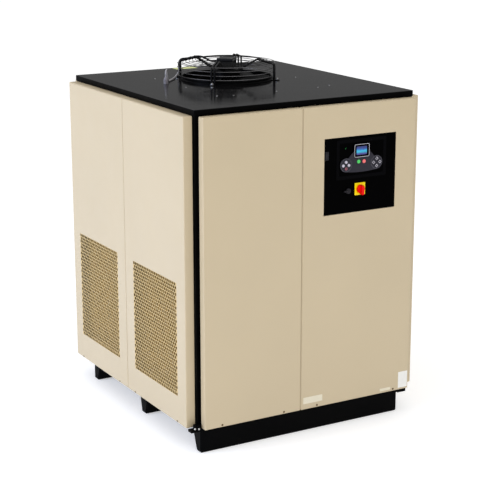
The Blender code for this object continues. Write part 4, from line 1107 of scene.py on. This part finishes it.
def guard_leg(index):
    """A leg's two rods, with the foot and the nut that hold them to the roof."""
    turn = Matrix.Rotation(math.radians(45 + 90 * index), 3, "Z")

    def put(point):
        return turn @ Vector(point) + FAN_PLACE

    pieces = []
    for side in (-GUARD_ROD_SPACING / 2, GUARD_ROD_SPACING / 2):
        path = [put(p) for p in guard_rod_path(side)]
        pieces.append(sweep("guard_rod", path, LEG_WIRE_R, WIRE, 14))
    foot = block("guard_foot", (-0.018, -0.013, 0.0003), (0.018, 0.013, 0.0043), WIRE, 0.0012)
    foot.matrix_world = Matrix.Translation(put((GUARD_R + 0.008, 0, ROOF_TOP))) @ turn.to_4x4()
    nut_place = put((GUARD_R + 0.016, 0, ROOF_TOP + 0.004))
    return pieces + [foot] + dome_nut("foot", nut_place)


def crown_height(radius):
    """The underside of the rods at a distance from the fan's axis."""
    crown_top = GUARD_TOP + GUARD_CROWN_RISE
    if radius < GUARD_CROWN_R:
        share = (GUARD_CROWN_R - radius) / (GUARD_CROWN_R - GUARD_DIP_R)
        return crown_top - share * (crown_top - MOTOR_MOUNT_Z) - GUARD_ROD_R
    slope = GUARD_CROWN_RISE / (GUARD_R - GUARD_BEND - GUARD_CROWN_R)
    return GUARD_TOP + slope * (GUARD_R - GUARD_BEND - radius) - GUARD_ROD_R


def guard_wire(radius, height, material):
    path = [FAN_PLACE + polar(radius, a, height) for a in turns(128)]
    return sweep("ring", path, GUARD_WIRE_R, material, 8, True)


def build_guard():
    """Wire guard: four double-rod legs on the diagonals, tied together by close wire rings."""
    pieces = [piece for index in range(4) for piece in guard_leg(index)]
    inside = GUARD_R - GUARD_ROD_R
    # The upright rings take the painted-highlight wire. The crown's rings stay black.
    for level in range(4):
        pieces.append(guard_wire(inside, GUARD_TOP - 0.001 - GUARD_RING_PITCH * level, GLINT_WIRE))
    for step in range(7):
        radius = GUARD_R - GUARD_BEND - 0.010 - CROWN_RING_PITCH * step
        pieces.append(guard_wire(radius, crown_height(radius), WIRE))
    finished("fan_guard_wires", "cabinet", "black_wire", pieces, ["fan_guard"])


def blade(angle):
    """One broad, swept and twisted blade, from the hub's wall to the tip."""
    across, along = 10, 9
    chord_half = math.radians(19)
    bm = bmesh.new()
    rows = []
    for j in range(along):
        span = j / (along - 1)
        radius = HUB_R - 0.002 + (BLADE_TIP_R - HUB_R + 0.002) * span
        sweep_angle = angle + math.radians(14) * span ** 1.5
        pitch = 0.020 - 0.004 * span
        chord = chord_half * (1.0 - 0.12 * span ** 6)
        row = []
        for i in range(across):
            share = 2 * i / (across - 1) - 1
            a = sweep_angle + chord * share
            height = BLADE_MIDDLE_Z + pitch * share - 0.003 * (1 - share ** 2)
            row.append(bm.verts.new(FAN_PLACE + polar(radius, a, height)))
        rows.append(row)
    for lower, upper in zip(rows, rows[1:]):
        for i in range(across - 1):
            bm.faces.new((lower[i], lower[i + 1], upper[i + 1], upper[i]))
    obj = painted(new_object("blade", bm), FAN_BLACK)
    thicken(obj, BLADE_SHEET)
    return round_edges(obj, 0.0008, 2)


def build_impeller():
    """The rotor's cup with its blades."""
    cup_top, cup_bottom = 1.688, 1.615
    wall = 0.0045
    inner = HUB_R - wall
    profile = [
        (inner, cup_top - 0.001), (inner + 0.001, cup_top),
        (HUB_R - 0.001, cup_top), (HUB_R, cup_top - 0.001),
        (HUB_R, cup_bottom + 0.008), (HUB_R - 0.0024, cup_bottom + 0.0024),
        (HUB_R - 0.008, cup_bottom), (0.004, cup_bottom), (0.004, cup_bottom + wall),
        (inner, cup_bottom + wall),
    ]
    pieces = [lathe("cup", profile, FAN_PLACE, FAN_BLACK, "+Z", 64)]
    pieces += [blade(angle) for angle in turns(BLADE_COUNT)]
    finished("fan_rotor_blades", "fan_rotor", "black_paint", pieces, ["fan_impeller"])


def build_motor():
    """The still half of the motor: a flange under the rods, with its screws."""
    low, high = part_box("fan_motor")
    seat = MOTOR_MOUNT_Z - GUARD_ROD_R - SKIN
    profile = [
        (0.0, high.z), (0.043, high.z), (0.045, high.z - 0.002), (0.045, seat + 0.002),
        (0.047, seat), (0.083, seat), (0.085, seat - 0.002), (0.085, seat - 0.005),
        (0.083, seat - 0.007), (0.060, seat - 0.007), (0.060, low.z), (0.0, low.z),
    ]
    pieces = [lathe("motor_body", profile, FAN_PLACE, FAN_BLACK, "+Z", 64)]
    for angle in turns(8, 22.5):
        centre = FAN_PLACE + polar(0.0745, angle, seat)
        pieces.append(button_screw("motor_screw", centre, "+Z", FAN_BLACK, 0.004, 0.002))
    finished("fan_motor_body", "cabinet", "black_paint", pieces, ["fan_motor"])


def build_terminal_box():
    """The box on the motor: a base, a lid with four screws and the cable's entry."""
    low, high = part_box("fan_terminal_box")
    half = TERMINAL_BOX_SIDE / 2
    lid = high.z - 0.016
    base_half = half - 0.0015
    base_low, base_high = (-base_half, -base_half, low.z), (base_half, base_half, lid)
    lid_low, lid_high = (-half, -half, lid - 0.001), (half, half, high.z - 0.001)
    pieces = [
        block("box_base", base_low, base_high, BLACK_PLASTIC, 0.004),
        block("box_lid", lid_low, lid_high, BOX_LID, 0.005, 5),
    ]
    for sx in (-1, 1):
        for sy in (-1, 1):
            centre = (sx * (half - 0.010), sy * (half - 0.010), high.z - 0.0012)
            pieces.append(button_screw("lid_screw", centre, "+Z", DARK_ZINC, 0.0038, 0.0012))
    rib_count = 7
    rib = Vector((0.0012, 0.0012, 0.0))
    for index in range(rib_count):
        along = (half - 0.018) * (2 * index / (rib_count - 1) - 1)
        for side in (-1, 1):
            for x, y in ((side * base_half, along), (along, side * base_half)):
                foot = Vector((x, y, low.z + 0.003))
                top = Vector((x, y, lid - 0.002))
                pieces.append(block("rib", foot - rib, top + rib, BLACK_PLASTIC, 0.0005, 2))
    reach = CABLE_ENTRY_REACH
    gland = [
        (0.0, reach), (0.0065, reach), (0.008, reach - 0.0015), (0.009, reach - 0.005),
        (0.009, -0.001), (0.0, -0.001),
    ]
    entry = (0.0, half, (low.z + high.z) / 2)
    pieces.append(lathe("entry_gland", gland, entry, BLACK_PLASTIC, "+Y", 12))
    turn = Matrix.Translation(FAN_PLACE) @ Matrix.Rotation(math.radians(45), 4, "Z")
    for piece in pieces:
        piece.matrix_world = turn @ piece.matrix_world
    finished("fan_terminal_box_case", "cabinet", "black_plastic", pieces, ["fan_terminal_box"])


def gland_ribs(centre, axis, count, radius, start, end, rib_r):
    """Grip ribs along a gland's dome, from start to end above its foot."""
    ribs = []
    for angle in turns(count):
        ends = [centre + AXES[axis] @ polar(radius, angle, height) for height in (start, end)]
        ribs.append(sweep("gland_rib", ends, rib_r, GLAND_GREY, 6))
    return ribs


def build_roof_gland():
    """The cable's gland: a hexagonal nut under a ribbed dome."""
    low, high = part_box("roof_gland")
    centre = middle_of("roof_gland")
    centre.z = low.z
    reach = high.z - low.z
    dome = [
        (0.0, reach), (0.0060, reach), (0.0075, reach - 0.001), (0.0100, reach - 0.006),
        (0.0112, reach - 0.011), (0.0115, 0.011), (0.0, 0.011),
    ]
    body = lathe("gland_dome", dome, centre, GLAND_GREY, "+Z", 32)
    nut = hex_head("gland_nut", centre, "+Z", 0.0234, 0.011, GLAND_GREY)
    ribs = gland_ribs(centre, "+Z", 12, 0.0113, 0.012, reach - 0.012, 0.0009)
    finished("roof_gland_body", "cabinet", "grey_cable", [body, nut] + ribs, ["roof_gland"])


def on_leg(radius, height):
    """A point on the rear left leg's own plane."""
    reach = radius * math.sqrt(0.5)
    return (FAN_X - reach, FAN_Y + reach, height)


def cable_route():
    """From the roof gland in a tight loop to the rear left leg, up between its rods, to the box."""
    gland = middle_of("roof_gland")
    gland_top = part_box("roof_gland")[1].z
    along_the_roof = [
        (gland.x, gland.y, gland_top + 0.0006), (gland.x, gland.y, 1.688),
        (gland.x, gland.y, 1.700),
        (-0.336, 0.146, 1.7115), (-0.328, 0.155, 1.7165), (-0.321, 0.166, 1.710),
        (-0.3175, 0.172, 1.690), (-0.312, 0.177, 1.670), (-0.302, 0.186, 1.6575),
        (-0.285, 0.203, 1.6555), (-0.235, 0.260, 1.6560), (-0.203, 0.299, 1.6585),
    ]
    up_the_leg = [
        (0.2605, 1.6760), (0.2585, 1.7000), (0.2575, 1.7240), (0.2450, 1.7420), (0.2150, 1.7472),
        (0.1850, 1.7542), (0.1620, 1.7592), (0.1350, 1.7584), (0.1080, 1.7480), (0.0850, 1.7385),
        (TERMINAL_BOX_SIDE / 2 + CABLE_ENTRY_REACH + 0.0006, middle_of("fan_terminal_box").z),
    ]
    return along_the_roof, [on_leg(radius, height) for radius, height in up_the_leg]


def build_fan_cable():
    """The fan's supply cable, in a black sleeve from the lower part of its leg to the box."""
    along_the_roof, up_the_leg = cable_route()
    steps = 10
    line = smooth_route(along_the_roof + up_the_leg, steps)
    sleeve_from = steps * (len(along_the_roof) + 1)
    pieces = [
        sweep("cable", line, CABLE_R, CABLE_GREY, 16),
        sweep("sleeve", line[sleeve_from:], CABLE_R + SLEEVE_SHEET, BLACK_PLASTIC, 16),
    ]
    finished("fan_cable_sheath", "cabinet", "grey_cable", pieces, ["fan_cable"])


def cable_tie(turn, loop):
    path = [turn @ Vector(point) + FAN_PLACE for point in loop]
    return sweep("tie", path, 0.0014, BLACK_PLASTIC, 6, True)


def build_cable_ties():
    """Black ties that hold the cable to the rods of its leg."""
    turn = Matrix.Rotation(math.radians(135), 3, "Z")
    half_width = 0.0135
    ties = []
    for height in (1.682, 1.704, 1.724):
        middle = GUARD_R + 0.0035
        loop = [
            (middle + 0.0105 * math.cos(a), half_width * math.sin(a), height) for a in turns(32)
        ]
        ties.append(cable_tie(turn, loop))
    for radius in (0.222, 0.196, 0.172):
        middle = crown_height(radius) + GUARD_ROD_R + 0.002
        loop = [
            (radius, half_width * math.sin(a), middle + 0.0077 * math.cos(a)) for a in turns(32)
        ]
        ties.append(cable_tie(turn, loop))
    finished("cable_ties", "cabinet", "black_plastic", ties)


# ---------------------------------------------------------------- control door

def controller_hole():
    """The opening in the door and in the back plate for the controller's body."""
    low = [value - BODY_CLEARANCE for value in BODY_LOW]
    high = [value + BODY_CLEARANCE for value in BODY_HIGH]
    return rectangle_between(low, high)


def build_door():
    """The black fascia that the controls sit on, with openings for what passes through it."""
    low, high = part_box("control_door")
    holes = [
        front_outline("latch_flap", 0.002, 2, -LATCH_CLEARANCE, -LATCH_CLEARANCE),
        controller_hole(),
        shaft_bore(SWITCH_X, SWITCH_Z),
        shaft_bore(SELECTOR_X, SELECTOR_Z),
    ]
    outline = front_outline("control_door", 0.006)
    door = upright("door_sheet", outline, high.y, low.y, GLOSS, 0.0006, holes)
    finished("control_door_fascia", "door", "black_gloss", [door], ["control_door"])


def build_controller_plate():
    """The controller's back plate: a flat field inside a raised frame."""
    low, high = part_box("controller_plate")
    outline = front_outline("controller_plate", 0.005)
    inner = front_outline("controller_plate", 0.003, 4, PLATE_BORDER, PLATE_BORDER)
    field_y = low.y + PLATE_RAISE
    field = upright("plate_field", outline, high.y, field_y, GLOSS, 0.0, [controller_hole()])
    rim = upright("plate_frame", outline, field_y + 0.0002, low.y, FASCIA_FRAME, 0.0003, [inner])
    finished("controller_back_plate", "door", "black_plastic", [field, rim], ["controller_plate"])


def key_places():
    """Each key's node, centre, radius, material, outline material and slot."""
    keys = [
        ("start_button", *START_KEY, 0.009, GREEN_KEY, None, "green_key"),
        ("stop_button", *STOP_KEY, 0.009, RED_KEY, None, "red_key"),
    ]
    places = (
        ("top", "up", 0, 1), ("left", "left", -1, 0), ("right", "right", 1, 0),
        ("bottom", "down", 0, -1),
    )
    light, dark = (LIGHT_KEY, None, "light_key"), (DARK_RED_KEY, PINK_TRIM, "dark_red_key")
    for name, _, sx, sz in places:
        x = LEFT_CLUSTER_X - 0.001 + FUNCTION_KEY_SPREAD * sx
        z = CLUSTER_Z - 0.001 + FUNCTION_KEY_SPREAD * sz
        look = dark if name == "bottom" else light
        keys.append((f"function_key_{name}", x, z, 0.007, *look))
    for _, name, sx, sz in places:
        x, z = RIGHT_CLUSTER_X + ARROW_KEY_SPREAD * sx, CLUSTER_Z + ARROW_KEY_SPREAD * sz
        keys.append((f"arrow_key_{name}", x, z, 0.0085, ARROW_FIELD, ARROW_TRIM, "grey_plastic"))
    return keys


def key_outline(node, x, z, radius):
    if node.startswith("arrow"):
        return arc((x, z), radius, 0, 270, 4)
    return arc((x, z), radius, 0, 348.75, 32)


def housing_outline():
    """Two round ends under a dome, on a base that bows down a little between them."""
    middle = (LEFT_CLUSTER_X + RIGHT_CLUSTER_X) / 2
    reach = HOUSING_BASE_R - CLUSTER_R
    lean = math.degrees(math.asin((RIGHT_CLUSTER_X - middle) / reach))
    base_centre = (middle, CLUSTER_Z + reach * math.cos(math.radians(lean)))
    left = arc((LEFT_CLUSTER_X, CLUSTER_Z), CLUSTER_R, 270 - lean, 70, 24)
    dome = arc((DISPLAY_X, CLUSTER_Z - 0.010), HOUSING_DOME_R, 145, 35, 24)
    right = arc((RIGHT_CLUSTER_X, CLUSTER_Z), CLUSTER_R, 110, lean - 90, 24)
    base = arc(base_centre, HOUSING_BASE_R, lean - 90, -90 - lean, 18)
    return left + dome + right + base[1:-1]


def build_housing():
    """The controller's grey housing, its round ends lightly ringed, and the raised bezel."""
    low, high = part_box("controller_housing")
    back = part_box("controller_plate")[0].y - SKIN
    face = low.y + BEZEL_RAISE
    outline = housing_outline()
    pockets = [key_outline(node, x, z, radius + 0.0005) for node, x, z, radius, *_ in key_places()]

    def bezel_line(inset, radius):
        size = [side - 2 * inset for side in BEZEL_SIZE]
        return rounded_rectangle((DISPLAY_X, DISPLAY_Z), size, radius)

    window = bezel_line(BEZEL_BORDER, 0.004)
    bezel_outline = bezel_line(0.0, 0.008)
    trim_outline = bezel_line(0.0006, 0.0075)
    trim_inside = bezel_line(0.0006 + BEZEL_TRIM, 0.006)
    trim_seat = low.y + BEZEL_TRIM_RAISE
    pocket_floor = face + 0.0035
    body_front = Vector((BODY_LOW[0], back - 0.001, BODY_LOW[1]))
    body_back = Vector((BODY_HIGH[0], high.y, BODY_HIGH[1]))
    openings = pockets + [window]
    trim_back = trim_seat + SKIN
    pieces = [
        upright("housing_front", outline, pocket_floor, face, HOUSING_GREY, 0.0006, openings),
        upright("housing_back", outline, back, pocket_floor, BLACK_PLASTIC),
        upright("bezel", bezel_outline, back - 0.001, trim_seat, BEZEL_BLACK, 0.0008, [window]),
        upright("bezel_trim", trim_outline, trim_back, low.y, BEZEL_SILVER, 0.0002, [trim_inside]),
        block("controller_body", body_front, body_back, BLACK_PLASTIC, 0.002),
    ]
    ring_r, half = CLUSTER_R - 0.0022, 0.0005
    raised = 0.0004
    trim = [
        (ring_r - half, 0.0), (ring_r - half / 2, raised),
        (ring_r + half / 2, raised), (ring_r + half, 0.0),
    ]
    for x in (LEFT_CLUSTER_X, RIGHT_CLUSTER_X):
        pieces.append(lathe("cluster_ring", trim, (x, face, CLUSTER_Z), SILVER_TRIM, "-Y", 64))
    finished("controller_case", "door", "grey_plastic", pieces, ["controller_housing"])


def build_display():
    """A black display window with the lit screen in its middle."""
    low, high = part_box("display_lens")
    window = front_outline("display_lens", 0.004)
    lit = rounded_rectangle((DISPLAY_X - 0.001, DISPLAY_Z), SCREEN_SIZE, 0.0015, 3)
    pieces = [
        upright("window", window, high.y, low.y + SKIN, GLOSS),
        upright("screen", lit, low.y + SKIN, low.y, SCREEN),
    ]
    finished("display_window", "door", "display_glass", pieces, ["display_lens"])


def build_keys():
    for node, x, z, radius, material, trim, slot in key_places():
        low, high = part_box(node)
        outline = key_outline(node, x, z, radius)
        face = low.y + (SKIN if trim else 0.0)
        pieces = [upright(f"{node}_body", outline, high.y, face, material, 0.0003)]
        if trim:
            outer = key_outline(node, x, z, radius - 0.0004)
            inner = key_outline(node, x, z, radius - 0.0024)
            pieces.append(upright(f"{node}_trim", outer, low.y + 0.0006, low.y, trim, 0.0, [inner]))
        finished(f"{node}_key", f"{node}_cap", slot, pieces, [node])


def build_power_light():
    """A small green light on the controller's plate."""
    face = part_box("controller_plate")[0].y + PLATE_RAISE
    corner_x, corner_z = 0.1815, 1.4045
    tick = [
        (corner_x - 0.002, corner_z + 0.002), (corner_x, corner_z),
        (corner_x + 0.0045, corner_z + 0.006), (corner_x + 0.0033, corner_z + 0.007),
        (corner_x, corner_z + 0.0026), (corner_x - 0.001, corner_z + 0.003),
    ]
    light = upright("light", tick, face + 0.0002, face - SKIN, GREEN_LED)
    finished("power_light", "door", "green_key", [light])


def build_main_switch():
    """The isolator: a yellow plate, and a red knob with an upright grip."""
    low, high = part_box("switch_plate")
    outline = front_outline("switch_plate", 0.003)
    bore = shaft_bore(SWITCH_X, SWITCH_Z)
    plate = upright("plate", outline, high.y, low.y, YELLOW, 0.0008, [bore])
    finished("switch_plate_yellow", "door", "yellow_plastic", [plate], ["switch_plate"])
    knob_low, knob_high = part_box("switch_knob")
    seat = low.y - SKIN
    centre = (SWITCH_X, seat, SWITCH_Z)
    profile = rounded_profile(SWITCH_KNOB_R, 0.014, 0.0035, 5)
    disc = lathe("disc", profile, centre, RED, "-Y", 64)
    half = SWITCH_GRIP_WIDTH / 2
    grip_low = (SWITCH_X - half, knob_low.y, knob_low.z)
    grip_high = (SWITCH_X + half, seat - 0.004, SWITCH_Z + 0.020)
    grip = block("grip", grip_low, grip_high, RED, 0.0045, 5)
    pieces = [disc, grip, shaft(SWITCH_X, SWITCH_Z, seat - 0.004, knob_high.y)]
    finished("main_switch_handle", "main_switch_knob", "red_plastic", pieces, ["switch_knob"])
    refine("main_switch", BLACK_PLASTIC, 0.0008)


def build_selector():
    """A small rotary selector whose pointer reaches to the left."""
    low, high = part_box("selector_knob")
    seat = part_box("control_door")[0].y - SKIN
    centre = (SELECTOR_X, seat, SELECTOR_Z)
    profile = rounded_profile(SELECTOR_R, 0.009, 0.002)
    disc = lathe("disc", profile, centre, SELECTOR_GREY, "-Y", 48)
    tip = SELECTOR_X - POINTER_REACH
    pointer_outline = [
        (SELECTOR_X, SELECTOR_Z - 0.006), (SELECTOR_X + 0.003, SELECTOR_Z),
        (SELECTOR_X, SELECTOR_Z + 0.006),
        (tip + 0.001, SELECTOR_Z + 0.0025), (tip, SELECTOR_Z + 0.0015), (tip, SELECTOR_Z - 0.0015),
        (tip + 0.001, SELECTOR_Z - 0.0025),
    ]
    pointer = upright("pointer", pointer_outline, seat - 0.002, low.y, SELECTOR_GREY, 0.0012)
    pieces = [disc, pointer, shaft(SELECTOR_X, SELECTOR_Z, seat - 0.001, high.y)]
    finished("selector_handle", "selector", "black_plastic", pieces, ["selector_knob"])


def build_latch():
    """The door's flush pull, with a finger dish in its face."""
    low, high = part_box("latch_flap")
    outline = front_outline("latch_flap", 0.0015, 4)
    dish = front_outline("latch_flap", 0.003, 5, 0.004, 0.012)
    front = upright("flap_front", outline, low.y + 0.0011, low.y, SELECTOR_GREY, 0.0003, [dish])
    back = upright("flap_back", outline, high.y, low.y + 0.0010, LATCH_GREY)
    finished("latch_pull", "latch", "grey_plastic", [front, back], ["latch_flap"])


# ---------------------------------------------------------------- rear fittings

def build_air_pipe(node):
    """A welded pipe with a machined, raised-face flange at the rear."""
    low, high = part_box(node)
    x, face = middle_of(node).x, high.y

    def bent_rod(name, start_y, end_z, radius):
        corners = [(x, start_y, PIPE_Z), (x, PIPE_ELBOW_Y, PIPE_Z), (x, PIPE_ELBOW_Y, end_z)]
        return sweep(name, rounded_path(corners, PIPE_BEND_R, 16), radius, STEEL, 48)

    outer = bent_rod("pipe_outer", face - 0.004, low.z, PIPE_R)
    pipe = cut(outer, bent_rod("bore", face + 0.05, low.z - 0.05, PIPE_BORE_R))
    raised = 0.0016
    flange_profile = [
        (PIPE_BORE_R, 0.0), (0.0635, 0.0), (0.0645, -raised), (FLANGE_R - 0.001, -raised),
        (FLANGE_R, -raised - 0.001), (FLANGE_R, -FLANGE_THICKNESS + 0.001),
        (FLANGE_R - 0.001, -FLANGE_THICKNESS),
        (PIPE_R + 0.006, -FLANGE_THICKNESS), (PIPE_R + 0.002, -FLANGE_THICKNESS - 0.005),
        (PIPE_R - 0.001, -FLANGE_THICKNESS - 0.006), (PIPE_BORE_R, -0.004),
    ]
    flange = lathe("flange", flange_profile, (x, face, PIPE_Z), STEEL, "+Y", 96)
    drills = []
    for a in turns(4, 45):
        centre = (x + BOLT_CIRCLE_R * math.cos(a), face, PIPE_Z + BOLT_CIRCLE_R * math.sin(a))
        drills.append(drill(centre, BOLT_HOLE_R, "+Y", 32, 2 * FLANGE_THICKNESS))
    cut(flange, *drills)
    finished(f"{node}_spool", "cabinet", "pipe_steel", [pipe, flange], [node])


def build_drain():
    """A brass ball valve with its lever, in the shut position."""
    low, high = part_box("drain_valve")
    lever_low, lever_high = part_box("drain_lever")
    x, middle, _ = middle_of("drain_valve")
    z = DRAIN_Z
    bore_r = 0.007
    body = [
        (bore_r, high.y), (0.0125, high.y), (0.014, high.y - 0.001), (0.014, high.y - 0.008),
        (0.0115, high.y - 0.010), (0.0115, middle + 0.008),
        (0.0138, middle + 0.005), (0.0138, middle - 0.005),
        (0.0115, middle - 0.008), (0.0115, low.y + 0.006), (0.014, low.y + 0.004), (0.014, low.y),
        (0.0, low.y), (0.0, high.y - 0.010), (bore_r, high.y - 0.010),
    ]
    pieces = [
        lathe("valve_body", body, (x, 0, z), BRASS, "+Y", 32),
        sweep("valve_stem", [(x, middle, z), (x, middle, high.z)], 0.006, BRASS, 24),
        hex_head("valve_nut", (x, middle, z + 0.0118), "+Z", 0.0155, 0.005, BRASS),
    ]
    finished("drain_ball_valve", "cabinet", "brass", pieces, ["drain_valve"])
    thickness = 0.0022
    plate_z = lever_low.z
    arm_low = (lever_low.x, middle - 0.0055, plate_z)
    arm_high = (lever_high.x - 0.002, middle + 0.0055, plate_z + thickness)
    arm = block("arm", arm_low, arm_high, ZINC, 0.0008, 2)
    grip = block("grip", (x + 0.022, lever_low.y, plate_z), lever_high, RED_GRIP, 0.0016, 4)
    nut_place = (x, middle, plate_z + thickness)
    screw = hex_head("lever_nut", nut_place, "+Z", 0.010, lever_high.z - plate_z - thickness, ZINC)
    finished("drain_valve_lever", "drain_handle", "red_grip", [arm, grip, screw], ["drain_lever"])


def build_power_gland():
    """The supply cable's gland: a hexagonal nut, a ribbed dome and a rubber seal."""
    low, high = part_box("power_gland")
    centre = middle_of("power_gland")
    centre.y = low.y
    reach = high.y - low.y
    nut = hex_head("nut", centre, "+Y", 0.0337, 0.006, GLAND_GREY)
    dome_profile = [
        (0.0075, reach), (0.0100, reach), (0.0130, reach - 0.003), (0.0155, reach - 0.010),
        (0.0160, 0.006), (0.0, 0.006), (0.0, reach - 0.006), (0.0075, reach - 0.006),
    ]
    dome = lathe("dome", dome_profile, centre, GLAND_GREY, "+Y", 48)
    seal_profile = [
        (0.0045, reach - 0.001), (0.0078, reach - 0.001),
        (0.0078, reach - 0.0055), (0.0045, reach - 0.0055),
    ]
    seal = lathe("seal", seal_profile, centre, BLACK_PLASTIC, "+Y", 32)
    pieces = [nut, dome, seal] + gland_ribs(centre, "+Y", 16, 0.0156, 0.007, 0.017, 0.001)
    finished("power_gland_body", "cabinet", "grey_cable", pieces, ["power_gland"])


# ---------------------------------------------------------------- inside

def build_condenser(node):
    """A finned coil: upright fins on level tubes, in a folded frame."""
    low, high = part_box(node)
    frame_size = 0.012
    inside_low, inside_high = low.z + frame_size, high.z - frame_size
    pieces = [
        block("rail", low, (high.x, high.y, inside_low), COIL_FRAME, 0.001, 2),
        block("rail", (low.x, low.y, inside_high), high, COIL_FRAME, 0.001, 2),
        block("stile", low, (high.x, low.y + frame_size, high.z), COIL_FRAME, 0.001, 2),
        block("stile", (low.x, high.y - frame_size, low.z), high, COIL_FRAME, 0.001, 2),
    ]
    fin_pitch, fin_sheet = 0.0042, 0.0006
    middle_x, _, middle_z = middle_of(node)
    size = (high.x - low.x - 0.002, fin_sheet, inside_high - inside_low)
    count = int((high.y - low.y - 2 * frame_size) / fin_pitch)
    bm = bmesh.new()
    for index in range(count):
        y = low.y + frame_size + fin_pitch * (index + 0.5)
        made = bmesh.ops.create_cube(bm, size=1.0)["verts"]
        bmesh.ops.scale(bm, vec=size, verts=made)
        bmesh.ops.translate(bm, vec=(middle_x, y, middle_z), verts=made)
    pieces.append(painted(new_object("fins", bm), FINS))
    tube_count, margin = 22, 0.030
    for index in range(tube_count):
        z = low.z + margin + (high.z - low.z - 2 * margin) * index / (tube_count - 1)
        line = [(middle_x, low.y + frame_size, z), (middle_x, high.y - frame_size, z)]
        pieces.append(sweep("coil_tube", line, 0.0045, COPPER, 8))
    finished(f"{node}_coil", "cabinet", "aluminium_fins", pieces, [node])


def build_coil_sills():
    """Painted sheets that close the gap between a coil's foot and the panels beside it."""
    sills = []
    for side_name, sx in (("left", -1), ("right", 1)):
        low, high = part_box(f"condenser_{side_name}")
        coil_face = sx * max(abs(low.x), abs(high.x))
        x_low, x_high = sorted((coil_face + sx * 0.001, coil_face + sx * COIL_SILL_DEPTH))
        corner = (x_high, high.y, low.z + PANEL_SHEET)
        # The sills take the cream paint's shadow tone, as painted shade.
        sills.append(block("sill", (x_low, low.y, low.z), corner, SHADED_CREAM_PAINT, 0.0003))
    finished("coil_sills", "cabinet", "cream_paint", sills)


def build_vessel(node, material, slot, port_r):
    """A welded vessel: a drawn dome and a shell with its weld seam."""
    low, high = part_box(node)
    centre = middle_of(node)
    centre.z = 0.0
    radius = (high.x - low.x) / 2
    dome = 0.4 * radius
    seam = high.z - dome - 0.012
    arch = [
        (max(port_r, radius * math.cos(a)), high.z - dome + dome * math.sin(a))
        for a in (math.radians(90 - 10 * i) for i in range(9))
    ]
    profile = arch + [
        (radius, high.z - dome), (radius, seam + 0.003), (radius - 0.0012, seam + 0.002),
        (radius - 0.0012, seam - 0.002), (radius, seam - 0.003), (radius, low.z),
        (radius - 0.005, low.z), (radius - 0.005, high.z - dome - 0.01), (port_r, high.z - 0.006),
    ]
    shell = lathe("shell", profile, centre, material, "+Z", 64)
    finished(f"{node}_shell", "cabinet", slot, [shell], [node])


def build_heat_exchanger():
    """The insulated exchanger block with two banding straps."""
    low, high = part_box("heat_exchanger")
    inset = Vector((0.001, 0.001, 0))
    pieces = [block("jacket", low + inset, high - inset, FOAM, 0.014, 4)]
    for share in (0.25, 0.72):
        z = low.z + (high.z - low.z) * share
        strap_high = (high.x, high.y, z + 0.016)
        pieces.append(block("strap", (low.x, low.y, z), strap_high, GALVANISED, 0.012, 4))
    finished("heat_exchanger_jacket", "cabinet", "foam_insulation", pieces, ["heat_exchanger"])


def build_refrigerant_lines():
    """Copper lines along the CAD tubes' own routes, fitted to their boxes."""
    compressor, compressor_high = middle_of("compressor"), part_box("compressor")[1]
    receiver, receiver_top = middle_of("liquid_receiver"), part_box("liquid_receiver")[1].z
    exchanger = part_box("heat_exchanger")[0]
    condenser_x, condenser_top = middle_of("condenser_left").x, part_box("condenser_left")[1].z
    rise_x, discharge_z, suction_z, liquid_z = -0.050, 0.940, 0.350, 0.660
    routes = {
        "discharge_line": (0.008, 0.030, [
            (compressor.x, compressor.y, compressor_high.z + SKIN),
            (compressor.x, compressor.y, discharge_z), (condenser_x, compressor.y, discharge_z),
            (condenser_x, compressor.y, condenser_top + SKIN),
        ]),
        "suction_line": (0.014, 0.045, [
            (exchanger.x - SKIN, 0.150, 0.600), (rise_x, 0.150, 0.600),
            (rise_x, compressor.y, suction_z), (compressor_high.x + 0.001, compressor.y, suction_z),
        ]),
        "liquid_line": (0.006, 0.025, [
            (receiver.x, receiver.y, receiver_top + SKIN), (receiver.x, receiver.y, liquid_z),
            (rise_x, receiver.y, liquid_z), (rise_x, receiver.y, 0.480),
            (exchanger.x - SKIN, receiver.y, 0.480),
        ]),
    }
    for node, (radius, bend, corners) in routes.items():
        line = sweep("line", rounded_path(corners, bend), radius, COPPER, 20)
        finished(f"{node}_tube", "cabinet", "copper", [line], [node])


def build_drain_line():
    separator_y = middle_of("moisture_separator").y
    separator_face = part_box("moisture_separator")[1].x
    valve_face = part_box("drain_valve")[0].y
    turn_x, outlet_z = 0.535, 0.200
    corners = [
        (separator_face + SKIN, separator_y, outlet_z), (turn_x, separator_y, outlet_z),
        (turn_x, 0.500, DRAIN_Z), (DRAIN_X, 0.560, DRAIN_Z), (DRAIN_X, valve_face - SKIN, DRAIN_Z),
    ]
    line = sweep("line", rounded_path(corners, 0.025), 0.006, COPPER, 20)
    finished("drain_line_tube", "cabinet", "copper", [line], ["drain_line"])


# ---------------------------------------------------------------- the whole dryer

build_camera()
build_lights()
build_floor()

build_base()
build_side_panels()
build_end_panels()
build_seam_strips()
build_roof()
build_cabinet_screws()
build_corner_foot()
build_labels()

build_shroud()
build_guard()
build_impeller()
build_motor()
build_terminal_box()
build_roof_gland()
build_fan_cable()
build_cable_ties()

build_door()
build_controller_plate()
build_housing()
build_display()
build_keys()
build_power_light()
build_main_switch()
build_selector()
build_latch()
refine("electrical_box", GALVANISED)

for pipe_node in ("air_inlet_pipe", "air_outlet_pipe"):
    build_air_pipe(pipe_node)
build_drain()
build_power_gland()

build_condenser("condenser_left")
build_condenser("condenser_right")
build_coil_sills()
build_vessel("compressor", BLACK, "black_paint", 0.006)
build_vessel("liquid_receiver", BLACK, "black_paint", 0.004)
build_vessel("moisture_separator", STEEL, "pipe_steel", 0.020)
build_heat_exchanger()
build_refrigerant_lines()
build_drain_line()
